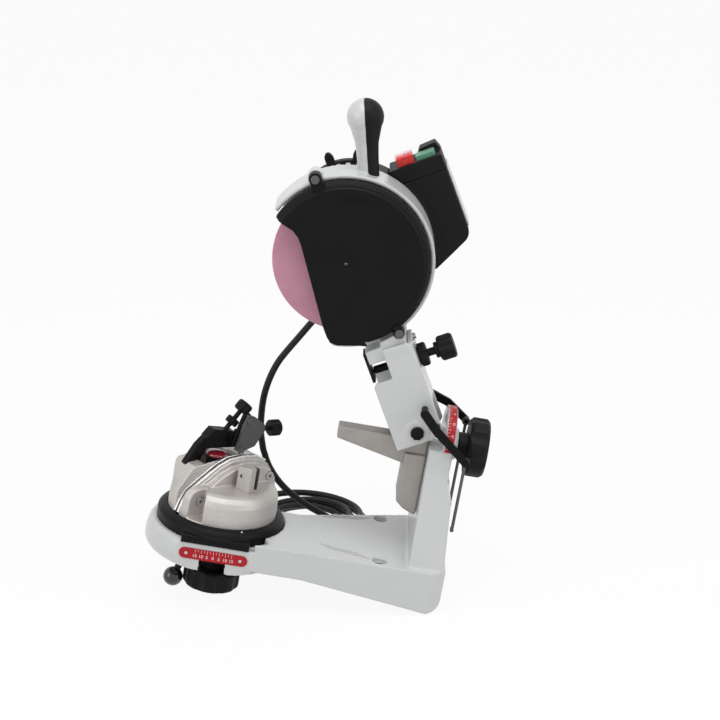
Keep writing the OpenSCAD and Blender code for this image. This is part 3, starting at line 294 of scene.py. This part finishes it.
def cast(node, finish, grain, rounds, kept=1.0):
    """A casting or moulding: the skin's mesh is as fine as grain, in mm, is relaxed in rounds, and is then
    thinned to the share kept."""
    form = merged(node)
    for face in form.faces:
        face.smooth = True
    piece = stand_for(form, node, finish)
    skin = piece.modifiers.new("skin", "REMESH")
    skin.mode = "VOXEL"
    skin.voxel_size = grain * MM
    skin.use_smooth_shade = True
    relax = piece.modifiers.new("relaxed", "SMOOTH")
    relax.factor = 0.5
    relax.iterations = rounds
    if kept < 1:
        thin = piece.modifiers.new("thinned", "DECIMATE")
        thin.ratio = kept
    return piece


sharp_from = 33
smooth_up_to = 48


def edged(node, finish, width, segments=2):
    """A machined or pressed piece: its sharp edges are rounded by width, in mm."""
    form = merged(node)
    bmesh.ops.dissolve_limit(form, angle_limit=math.radians(1), verts=form.verts, edges=form.edges)
    folds = [edge for edge in form.edges if len(edge.link_faces) == 2]
    corners = [edge for edge in folds if edge.calc_face_angle(0) > math.radians(sharp_from)]
    if width:
        bmesh.ops.bevel(
            form, geom=corners, offset=width * MM, segments=segments, profile=0.5, material=-1,
            affect="EDGES", clamp_overlap=True,
        )
    for face in form.faces:
        face.smooth = True
    for edge in form.edges:
        edge.smooth = len(edge.link_faces) == 2 and edge.calc_face_angle(0) < math.radians(smooth_up_to)
    piece = stand_for(form, node, finish)
    even = piece.modifiers.new("even shading", "WEIGHTED_NORMAL")
    even.keep_sharp = True
    return piece


# ------------------------------------------------------------------ relief and plug
# The tapered relief is pressed into a boss under the motor. The moulded plug has a round grip and two pins,
# and lies at the end of the loops.
edged("lead_gland", lead_rubber, 0.5)
plug_plastic = Finish("plug plastic", (0.016, 0.016, 0.017), 0.45, others={"Specular IOR Level": 0.2})
plug_grain = plug_plastic.noise(1500, 2)
plug_plastic.feed("Roughness", plug_grain * 0.15 + 0.4)
plug_plastic.relief(plug_grain, 0.15, 0.0002)
plug = edged("mains_plug", plug_plastic, 0.8)
length_of(tail_line)

# ------------------------------------------------------------------ base
# One light alloy casting: the round tub under the vise, the tray with its non-slip ribs and two hexagon
# recesses, and the hollow column. It is painted in a smooth, glossy light grey.
stance = 9.70195
middle = (17.4413, 77)
table_z = -67.7842


def moved(x, y, z):
    """The matrix of a move, given in mm."""
    return Matrix.Translation(Vector((x, y, z)) * MM)


def turned(axis, degrees):
    """The matrix of a turn about an axis through the origin."""
    return Matrix.Rotation(math.radians(degrees), 4, axis)


to_table = moved(-middle[0], -middle[1], -table_z) @ turned("Y", stance)


def bar(form, low, high, place=None):
    """A plain bar between two corners, in mm, put in place by a matrix."""
    size = [abs(h - l) * MM for l, h in zip(low, high)]
    centre = [(h + l) / 2 * MM for l, h in zip(low, high)]
    whole = Matrix.Translation(centre) @ Matrix.Diagonal((*size, 1))
    bmesh.ops.create_cube(form, size=1, matrix=whole if place is None else place @ whole)


def prism(form, place, sides, radii, height):
    """A prism or a cut-off cone about the z axis of a matrix, with its two radii and its height in mm."""
    bmesh.ops.create_cone(
        form, cap_ends=True, segments=sides, matrix=place,
        radius1=radii[0] * MM, radius2=radii[1] * MM, depth=height * MM,
    )


def rounded(form, edges, width, segments):
    """Rounds edges of a form by a width in mm."""
    bmesh.ops.bevel(
        form, geom=edges, offset=width * MM, segments=segments, profile=0.5, material=-1, affect="EDGES"
    )


def new_piece(form, name, finish, body):
    """Makes a form, drawn in the level frame, a piece that rides on a body."""
    bmesh.ops.transform(form, matrix=to_table, verts=form.verts)
    mesh = bpy.data.meshes.new(name)
    form.to_mesh(mesh)
    form.free()
    mesh.materials.append(finish.material)
    piece = bpy.data.objects.new(name, mesh)
    bpy.context.scene.collection.objects.link(piece)
    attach(piece, body)
    return piece


# Painted shade: the shaded bore finish is a dark, mottled grey for thin plates and discs laid where only
# shade falls, in hollows, slots and screw heads.
bore_shade = Finish("shaded bore", (0.09, 0.09, 0.092), 0.6)
painted_shade_mottle = bore_shade.noise(400, 3)
bore_shade.feed("Base Color", bore_shade.mixed(painted_shade_mottle, (0.06, 0.06, 0.062), (0.14, 0.14, 0.142)))
grey_paint = Finish(
    "light grey paint", (0.55, 0.56, 0.56), 0.3, others={"Coat Weight": 0.3, "Coat Roughness": 0.1}
)
paint_cloud = grey_paint.noise(9, 3)
paint_peel = grey_paint.noise(900, 2)
grey_paint.feed("Base Color", grey_paint.mixed(paint_cloud, (0.53, 0.54, 0.543), (0.58, 0.59, 0.588)))
grey_paint.feed("Roughness", paint_cloud * 0.1 + 0.25)
grey_paint.relief(paint_peel, 0.04, 0.0002)
cast("base_casting", grey_paint, 1.2, 6, 0.45)
ribs = bmesh.new()
rib_count = 6
first_rib = (22, 34)
rib_pitch = 7
rib_stagger = 1.5
rib_turn = 38
rib_low = (0.5, -1.0, -0.4)
rib_high = (19.5, 1.0, 0.45)
for side in (-1, 1):
    for i in range(rib_count):
        start = moved(first_rib[0] + i * rib_pitch, side * (first_rib[1] + i * rib_stagger), 0)
        bar(ribs, rib_low, rib_high, start @ turned("Z", side * rib_turn))
rounded(ribs, ribs.edges, 0.35, 2)
new_piece(ribs, "tray_ribs", grey_paint, "base")
# Painted shade: dark plates in the floors of the two hexagon recesses.
recesses = bmesh.new()
recess_x = 83
recess_y = 54
recess_floor = -5.2
recess_radius = 7.5
for side in (-1, 1):
    prism(recesses, moved(recess_x, side * recess_y, recess_floor), 6, (recess_radius, recess_radius), 0.5)
rounded(recesses, recesses.edges, 0.2, 1)
new_piece(recesses, "recess_floor_shade", bore_shade, "base")

# ------------------------------------------------------------------ scales
# Red scale plates with white ticks and numbers: one riveted to the tub's flat front, and one bent over the
# column's rounded top, with a white line along its inner edge.
red_plate = Finish("red scale", (0.4, 0.012, 0.016), 0.35, others={"Specular IOR Level": 0.25})
red_wear = red_plate.noise(260, 4)
red_plate.feed("Base Color", red_plate.mixed(red_wear, (0.34, 0.005, 0.012), (0.46, 0.009, 0.018)))
red_plate.feed("Roughness", red_wear * 0.2 + 0.28)
edged("vise_scale", red_plate, 0.2)
edged("tilt_scale", red_plate, 0)
white_print = Finish("white print", (0.8, 0.78, 0.76), 0.5)
print_wear = white_print.noise(900, 4)
white_print.feed("Base Color", white_print.mixed(print_wear, (0.5, 0.45, 0.44), (0.8, 0.77, 0.76)))


def add_text(form, body, size, place):
    """A number as a thin raised print, put in place by a matrix in metres."""
    letters = bpy.data.curves.new("number", "FONT")
    letters.body = body
    letters.size = size * MM
    letters.align_x = "CENTER"
    letters.align_y = "CENTER"
    letters.extrude = 0.04 * MM
    letters.offset = 0.05 * MM
    carrier = bpy.data.objects.new("number", letters)
    bpy.context.scene.collection.objects.link(carrier)
    mesh = bpy.data.meshes.new_from_object(carrier.evaluated_get(bpy.context.evaluated_depsgraph_get()))
    bpy.data.objects.remove(carrier)
    mesh.transform(place)
    form.from_mesh(mesh)
    bpy.data.meshes.remove(mesh)


vise_x = -81
plate_y = -66.8
plate_z = -19.5
degrees_per_step = 2.5
scale_radius = 68
print_depth = 0.07
marks = bmesh.new()
for step in range(-6, 7):
    x = vise_x + scale_radius * math.tan(math.radians(step * degrees_per_step))
    whole_step = step % 2 == 0
    tick_top = plate_z + 5.2
    tick_low = tick_top - (3.6 if whole_step else 2.4)
    bar(marks, (x - 0.18, plate_y - print_depth, tick_low), (x + 0.18, plate_y + 0.1, tick_top))
    if whole_step:
        place = moved(x, plate_y - 0.03, plate_z - 1.9) @ turned("X", 90)
        add_text(marks, str(abs(int(step * degrees_per_step))), 4.6, place)
new_piece(marks, "vise_scale_marks", white_print, "base")
band_marks = bmesh.new()
band_r = 37.8
band_start = 126.2
tick_start = 127
number_x = 132.6
tilt_z = 115
tilt_axis = moved(0, 0, tilt_z)
for degrees in range(-80, 81, 5):
    lean = tilt_axis @ turned("X", degrees)
    tick_end = tick_start + (3.4 if degrees % 10 == 0 else 2.2)
    bar(band_marks, (tick_start, -0.2, band_r - 0.1), (tick_end, 0.2, band_r + 0.08), lean)
    if degrees % 20 == 0:
        upright = moved(number_x, 0, band_r + 0.02) @ turned("Z", 90)
        add_text(band_marks, str(abs(degrees // 2)), 3.2, lean @ upright)
for degrees in range(-84, 85, 2):
    lean = tilt_axis @ turned("X", degrees)
    bar(band_marks, (band_start, -0.6, band_r - 0.1), (band_start + 0.7, 0.6, band_r + 0.06), lean)
new_piece(band_marks, "tilt_scale_marks", white_print, "base")

# ------------------------------------------------------------------ turntable
# A black painted ring that turns on the tub. Its lip is rounded, and its tab hangs over the scale, with a
# small white dot on top.
black_satin = Finish("satin black", (0.006, 0.006, 0.006), 0.42, others={"Specular IOR Level": 0.14})
satin_grain = black_satin.noise(1300, 3)
satin_cloud = black_satin.noise(30, 3)
satin_colour = black_satin.mixed(satin_cloud, (0.002, 0.002, 0.0022), (0.004, 0.004, 0.0042))
black_satin.feed("Base Color", satin_colour)
black_satin.feed("Roughness", satin_grain * 0.2 + 0.34)
black_satin.relief(satin_grain, 0.2, 0.0002)
cast("turntable_ring", black_satin, 0.8, 8)
dot = bmesh.new()
dot_centre = (vise_x + 24, -54.5, 6.2)
prism(dot, moved(*dot_centre), 24, (1.1, 0.9), 1.2)
new_piece(dot, "tab_white_dot", white_print, "turntable")

# ------------------------------------------------------------------ vise
# A blasted raw aluminium casting with two polished steel rails along the chain slot, a slotted block on its
# shelf, and two socket screws. The lip in front of the near rail stays below the rails all along the slot.
raw_casting = Finish("blasted aluminium", (0.5, 0.48, 0.455), 0.42, 0.7)
blast = raw_casting.noise(900, 4, 0.7)
patches = raw_casting.noise(45, 5, 0.6)
specks = raw_casting.noise(420, 3, 0.6).above(0.66)
cast_colour = raw_casting.mixed(blast * 0.6 + patches * 0.4, (0.33, 0.31, 0.295), (0.72, 0.69, 0.66))
raw_casting.feed("Base Color", raw_casting.over(specks * 0.35, cast_colour, (0.2, 0.17, 0.155)))
raw_casting.feed("Roughness", blast * 0.3 + 0.36)
raw_casting.relief(blast, 0.35, 0.0004)
slot_turn = 37
slot_frame = moved(vise_x, 0, 0) @ turned("Z", slot_turn)
lip_near = -5.6
lip_far = -4.2
lip_line = [
    (-53, 10), (-51.5, 22), (-46, 29.5), (-35.5, 37), (-15, 53), (-3, 59), (13, 61.5), (30, 60), (42, 54.5),
    (48, 47), (50, 38), (52, 10),
]


def lip_height(x):
    """Height of the near jaw's lip at x along the chain slot, in mm."""
    for (x0, z0), (x1, z1) in zip(lip_line, lip_line[1:]):
        if x0 <= x <= x1:
            return z0 + (z1 - z0) * (x - x0) / (x1 - x0)
    return lip_line[-1][1]


vise_seen = cast("vise_casting", raw_casting, 0.7, 3, 0.55)
slot_to_table = to_table @ slot_frame
table_to_slot = slot_to_table.inverted()
for vertex in vise_seen.data.vertices:
    x, y, z = (table_to_slot @ vertex.co) / MM
    if lip_near < y < lip_far and z > lip_height(x):
        vertex.co = slot_to_table @ (Vector((x, y, lip_height(x))) * MM)
edged("slotted_block", raw_casting, 0.7)
ground_steel = Finish("ground steel", (0.6, 0.6, 0.61), 0.3, 1.0)
ground_lines = ground_steel.noise(1, 3, 0.6, stretch=(90, 90, 2600))
ground_steel.feed("Base Color", ground_steel.mixed(ground_lines, (0.42, 0.42, 0.43), (0.7, 0.7, 0.7)))
ground_steel.feed("Roughness", ground_lines * 0.25 + 0.2)
ground_steel.relief(ground_lines, 0.1, 0.0002)
rail_steel = Finish("polished rail", (0.8, 0.8, 0.8), 0.24, 0.9)
rail_lines = rail_steel.noise(1, 3, 0.6, stretch=(200, 200, 1800))
rail_steel.feed("Base Color", rail_steel.mixed(rail_lines, (0.68, 0.68, 0.67), (0.92, 0.92, 0.91)))
rail_steel.feed("Roughness", rail_lines * 0.2 + 0.16)
for node in ("fixed_rail", "moving_rail"):
    edged(node, rail_steel, 0.6, 3)
block_foot = (6, -28, 37.5)
block_turn = -78
block_frame = slot_frame @ moved(*block_foot) @ turned("Z", block_turn)
# Painted shade: thin dark sheets on the floor and walls inside the slotted block's slot.
slot_shade_sheets = bmesh.new()
slot_shade_walls = [
    ((4.05, 0.55, 2.55), (8.6, 5.45, 2.8)),
    ((4.05, 0.55, 2.8), (4.3, 5.45, 24)),
    ((4.3, 0.55, 2.8), (8.6, 0.8, 24)),
    ((4.3, 5.2, 2.8), (8.6, 5.45, 24)),
]
for low, high in slot_shade_walls:
    bar(slot_shade_sheets, low, high, block_frame)
new_piece(
    slot_shade_sheets, "block_slot_shade", bore_shade, body_of_node["slotted_block"]
)
# Painted shade: dark hexagon discs set just inside the two screw heads.
socket_shade_discs = bmesh.new()
socket_radius = 1.95
socket_y = -16.3
screw_places = [(-39, 24), (41, 44)]
for x, z in screw_places:
    seat = slot_frame @ moved(x, socket_y, z) @ turned("X", 90)
    prism(socket_shade_discs, seat, 6, (socket_radius, socket_radius), 0.3)
new_piece(socket_shade_discs, "screw_socket_shade", bore_shade, body_of_node["rail_screws"])
turned_pieces = (
    "scale_rivets", "vise_stud", "arm_bolts", "wheel_flanges", "wheel_nut", "motor_shaft", "bearings",
    "tilt_stud", "rail_screws",
)
for node in turned_pieces:
    edged(node, ground_steel, 0.25)
dark_steel = Finish("dark steel", (0.09, 0.09, 0.09), 0.5, 0.6)
dark_lines = dark_steel.noise(1, 4, 0.7, stretch=(500, 500, 1800))
dark_steel.feed("Base Color", dark_steel.mixed(dark_lines, (0.05, 0.05, 0.05), (0.16, 0.16, 0.155)))
dark_steel.feed("Roughness", dark_lines * 0.3 + 0.35)
dark_steel.relief(dark_lines, 0.3, 0.0003)
for node in ("pawl_pin", "guard_screws"):
    edged(node, dark_steel, 0.3)

# ------------------------------------------------------------------ chain stop and small knobs
# A black bracket on the far jaw carries the chain stop: a rough steel pawl plate, an inclined length screw
# and a level height screw, both with moulded knobs. The hold-down knob beside it has a red cap.
moulded_black = Finish("moulded black", (0.008, 0.008, 0.008), 0.5, others={"Specular IOR Level": 0.16})
mould_grain = moulded_black.noise(1900, 3)
mould_cloud = moulded_black.noise(50, 3)
mould_colour = moulded_black.mixed(mould_cloud, (0.004, 0.004, 0.0042), (0.007, 0.007, 0.0072))
moulded_black.feed("Base Color", mould_colour)
moulded_black.feed("Roughness", mould_grain * 0.2 + 0.4)
moulded_black.relief(mould_grain, 0.25, 0.0002)
cast("stop_bracket", black_satin, 0.5, 5)
edged("pawl", dark_steel, 0.4)
for node in ("length_screw", "height_screw"):
    cast(node, moulded_black, 0.35, 3)
edged("length_nut", black_satin, 0.25)
cast("hold_down_knob", moulded_black, 0.35, 3)
red_cap = Finish("red cap", (0.2, 0.008, 0.016), 0.14, others={"Coat Weight": 0.6, "Coat Roughness": 0.05})
cap_cloud = red_cap.noise(120, 3)
red_cap.feed("Base Color", red_cap.mixed(cap_cloud, (0.15, 0.006, 0.012), (0.28, 0.012, 0.022)))
edged("hold_down_cap", red_cap, 0.3, 3)

# ------------------------------------------------------------------ clamp lever and lock knob
# Under the tub: a cup-shaped lock knob on the vise stud, and above it the clamp lever with its polished
# ball, which closes the moving rail.
edged("clamp_lever", black_satin, 0.6)
ball_polish = Finish(
    "polished ball", (0.006, 0.006, 0.006), 0.07, others={"Coat Weight": 0.5, "Coat Roughness": 0.03}
)
ball_cloud = ball_polish.noise(200, 2)
ball_polish.feed("Roughness", ball_cloud * 0.06 + 0.05)
edged("lever_ball", ball_polish, 0)
cast("lock_knob", moulded_black, 0.8, 5)

# ------------------------------------------------------------------ tilt support
# A second raw casting, duller than the vise: it bears on the column, holds the pivot's eye, and its long
# tongue points to the vise. The big knob behind the column locks it.
dull_casting = Finish("dull aluminium", (0.34, 0.315, 0.295), 0.5, 0.6)
dull_blast = dull_casting.noise(900, 4, 0.7)
dull_patches = dull_casting.noise(38, 5, 0.6)
dull_share = dull_blast * 0.5 + dull_patches * 0.5
dull_casting.feed("Base Color", dull_casting.mixed(dull_share, (0.2, 0.185, 0.173), (0.5, 0.47, 0.445)))
dull_casting.feed("Roughness", dull_blast * 0.25 + 0.4)
dull_casting.relief(dull_blast, 0.35, 0.0004)
cast("tilt_support", dull_casting, 0.9, 5)
cast("tilt_knob", moulded_black, 0.8, 6)

# ------------------------------------------------------------------ swing arm
# A painted two-plate arm on the pivot pin, with the depth stop: a screw with a knob, a lobed lock nut, and
# a black strip in front of the notch. Bent levers and thin rods follow the arm on both sides.
cast("swing_arm", grey_paint, 0.85, 6)
edged("pivot_pin", black_satin, 0.4)
edged("front_strip", moulded_black, 0.4)
cast("depth_screw", moulded_black, 0.5, 4)
cast("depth_nut", moulded_black, 0.5, 4)
for node in ("near_lever", "far_lever"):
    edged(node, black_satin, 0.7)
for node in ("near_rod", "far_rod"):
    edged(node, dark_steel, 0)

# ------------------------------------------------------------------ return spring
# A close-wound torsion spring of round wire on the pivot pin, between the support's eye and the arm. It
# holds the head up.
spring_turns = 3
spring_radius = 8.2
spring_start = 16.85
wire_radius = 0.42
rise_per_point = 0.0125
points_per_turn = 24
pivot = Vector((98.0351, 0, 129.0))
spring_points = []
for i in range(spring_turns * points_per_turn + 1):
    angle = i / points_per_turn * 2 * math.pi
    out = Vector((math.cos(angle), 0, math.sin(angle))) * spring_radius
    along = Vector((0, spring_start + i * rise_per_point, 0))
    spring_points.append(to_table @ ((pivot + out + along) * MM))
spring = tube("return_spring_wire", spring_points, wire_radius * MM, 8)
spring.data.materials.append(dark_steel.material)
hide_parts("return_spring")
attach(spring, "head")

# ------------------------------------------------------------------ wheel housing, guard and handle
# A painted drum with the front half of the handle cast on. The black guard covers the near side of the
# wheel and carries a raised arrow, and the handle's rear half is black plastic.
cast("wheel_housing", grey_paint, 1.05, 5, 0.6)
cast("handle_grip", moulded_black, 0.8, 4)
cast("wheel_guard", black_satin, 0.95, 9, 0.6)
wheel_z = 285.889
guard_face = -25
arrow_radius = 66
arrow_end = 13
to_wheel = moved(0, 0, wheel_z)
arrow = bmesh.new()
for degrees in range(-9, 14, 2):
    place = to_wheel @ turned("Y", -degrees)
    bar(arrow, (-1.3, guard_face - 0.45, 64.6), (1.3, guard_face + 0.3, 67.4), place)
arrow_tip = to_wheel @ turned("Y", arrow_end) @ moved(0, guard_face, arrow_radius)
prism(arrow, arrow_tip @ turned("X", 90) @ turned("Z", 60), 3, (4.4, 4.0), 0.9)
new_piece(arrow, "guard_arrow", black_satin, "head")

# ------------------------------------------------------------------ grinding wheel
# A thin vitrified wheel of pink aluminium oxide: an open, gritty surface with pale grains, a little darker
# where it has worn.
pink_grit = Finish("pink grit", (0.6, 0.26, 0.36), 0.92)
grit = pink_grit.noise(1500, 3, 0.75)
worn = pink_grit.noise(34, 4, 0.6)
grit_colour = pink_grit.mixed(grit * 0.7 + worn * 0.3, (0.36, 0.115, 0.19), (0.80, 0.43, 0.54))
grains = pink_grit.wire.node("TexVoronoi", {}, {"Vector": pink_grit.place, "Scale": 900})
pale_grains = 1 - grains.above(0.22)
pink_grit.feed("Base Color", pink_grit.over(pale_grains * 0.25, grit_colour, (0.9, 0.68, 0.74)))
pink_grit.relief(grit, 0.6, 0.0004)
edged("grinding_wheel", pink_grit, 0)

# ------------------------------------------------------------------ motor
# A silver ribbed case between the black near cover and the black end cover, with its rotor, stator and fan
# inside.
silver_case = Finish("silver case", (0.55, 0.55, 0.55), 0.36, 0.55)
case_grain = silver_case.noise(600, 4, 0.6)
silver_case.feed("Base Color", silver_case.mixed(case_grain, (0.45, 0.45, 0.45), (0.66, 0.66, 0.655)))
silver_case.feed("Roughness", case_grain * 0.25 + 0.28)
silver_case.relief(case_grain, 0.15, 0.0003)
edged("motor_case", silver_case, 0.5)
cast("end_cover", moulded_black, 1.1, 5)
copper = Finish("windings", (0.35, 0.13, 0.05), 0.4, 0.8)
strands = copper.noise(1, 2, 0.5, stretch=(2000, 60, 2000))
copper.feed("Base Color", copper.mixed(strands, (0.2, 0.07, 0.03), (0.5, 0.2, 0.09)))
edged("stator", copper, 0.5)
edged("rotor", dark_steel, 0.5)
edged("motor_fan", moulded_black, 0.3)

# ------------------------------------------------------------------ switch box
# A black moulded box on the motor's near cover, with a red stop button under a clear cover, a green start
# button, and a bare metal plate on its right side.
cast("motor_cover", moulded_black, 1.1, 8, 0.6)
cast("switch_lid", moulded_black, 0.6, 4)
edged("switch_body", moulded_black, 0.4)
bare_plate = Finish("bare plate", (0.6, 0.6, 0.6), 0.35, 0.85)
plate_lines = bare_plate.noise(1, 3, 0.6, stretch=(80, 80, 1800))
bare_plate.feed("Base Color", bare_plate.mixed(plate_lines, (0.5, 0.5, 0.5), (0.72, 0.72, 0.72)))
bare_plate.feed("Roughness", plate_lines * 0.2 + 0.25)
edged("switch_plate", bare_plate, 0.3)
stop_red = Finish("stop red", (0.6, 0.01, 0.008), 0.4, others={"Specular IOR Level": 0.2})
red_cloud = stop_red.noise(150, 3)
stop_red.feed("Base Color", stop_red.mixed(red_cloud, (0.55, 0.003, 0.002), (0.72, 0.006, 0.004)))
edged("stop_button", stop_red, 0.8, 3)
clear_cover = Finish(
    "clear cover", (1.0, 0.8, 0.8), 0.06, others={"Transmission Weight": 0.9, "IOR": 1.1, "Alpha": 0.3},
)
box_lean = 30
cover_low = (74.4, 40.9, 56)
cover_high = (93.1, 60.1, 69.2)
cover_haze = clear_cover.noise(300, 2)
clear_cover.feed("Roughness", cover_haze * 0.1 + 0.05)
cover = bmesh.new()
bar(cover, cover_low, cover_high)
bmesh.ops.delete(cover, geom=[face for face in cover.faces if face.normal.z < -0.9], context="FACES")
rounded(cover, [edge for edge in cover.edges if len(edge.link_faces) == 2], 1.4, 3)
bmesh.ops.transform(cover, matrix=to_wheel @ turned("Y", -box_lean), verts=cover.verts)
cover_piece = new_piece(cover, "stop_cover", clear_cover, "head")
cover_wall = cover_piece.modifiers.new("wall", "SOLIDIFY")
cover_wall.thickness = 0.5 * MM
cover_wall.offset = -1
start_green = Finish("start green", (0.05, 0.18, 0.10), 0.35)
green_cloud = start_green.noise(150, 3)
start_green.feed("Base Color", start_green.mixed(green_cloud, (0.05, 0.2, 0.11), (0.14, 0.36, 0.24)))
edged("start_button", start_green, 0.8, 3)

# ------------------------------------------------------------------ floor, backdrop and light
# A pale table and soft daylight from all round, with one large soft lamp above and two at the sides. The
# table and the sky look white to the camera, and light the part less than that.
floor_form = bmesh.new()
under_part = Matrix.Translation((0, 0, -0.0006))
bmesh.ops.create_grid(floor_form, x_segments=1, y_segments=1, size=20, matrix=under_part)
floor_mesh = bpy.data.meshes.new("floor")
floor_form.to_mesh(floor_mesh)
floor_form.free()
floor = bpy.data.objects.new("floor", floor_mesh)
bpy.context.scene.collection.objects.link(floor)
floor_paint = Finish("pale table", (0.9, 0.9, 0.9), 0.9)
table_cloud = floor_paint.noise(3, 2)
floor_paint.feed("Base Color", floor_paint.mixed(table_cloud, (0.9, 0.9, 0.9), (0.91, 0.91, 0.91)))


def looked_at(wire):
    """1 on rays from the camera, straight, mirrored or through glass, and else 0."""
    camera_ray = wire.node("LightPath", output="Is Camera Ray")
    mirrored = wire.node("LightPath", output="Is Glossy Ray")
    through = wire.node("LightPath", output="Is Transmission Ray")
    either = camera_ray.math("MAXIMUM", camera_ray, mirrored)
    return either.math("MAXIMUM", either, through)


floor_glow = 0.92
glow = floor_paint.wire.node("Emission", {}, {"Strength": 1.0})
tree = floor_paint.tree
lit = Wire(tree, floor_paint.shader.outputs[0])
glow_share = looked_at(floor_paint.wire) * floor_glow
shown = floor_paint.wire.node("MixShader", {}, {0: glow_share, 1: lit, 2: glow})
tree.links.new(shown.socket, tree.nodes["Material Output"].inputs["Surface"])
floor_mesh.materials.append(floor_paint.material)

sky = bpy.data.worlds.new("daylight")
bpy.context.scene.world = sky
sky.use_nodes = True
sky_wire = Wire(sky.node_tree)
background = sky.node_tree.nodes["Background"]
background.inputs["Color"].default_value = (1, 1, 1, 1)
sky_light = 0.5
strength = looked_at(sky_wire) * (1 - sky_light) + sky_light
sky.node_tree.links.new(strength.socket, background.inputs["Strength"])


def lamp(name, place, aim, size, power):
    """A soft rectangular lamp at a place, turned to what it lights."""
    light = bpy.data.lights.new(name, "AREA")
    light.shape = "RECTANGLE"
    light.size = size[0]
    light.size_y = size[1]
    light.energy = power
    holder = bpy.data.objects.new(name, light)
    holder.location = place
    holder.rotation_euler = (Vector(aim) - Vector(place)).to_track_quat("-Z", "Y").to_euler()
    bpy.context.scene.collection.objects.link(holder)


lamp("overhead", (0.1, -0.5, 1.9), (0, 0, 0.15), (1.6, 1.2), 17)
lamp("left", (-1.7, -1.3, 0.9), (0, 0, 0.2), (0.9, 1.3), 9)
lamp("right", (1.8, -1.1, 1.0), (0, 0, 0.2), (0.7, 1.2), 7)

bpy.context.scene.view_settings.view_transform = "Standard"
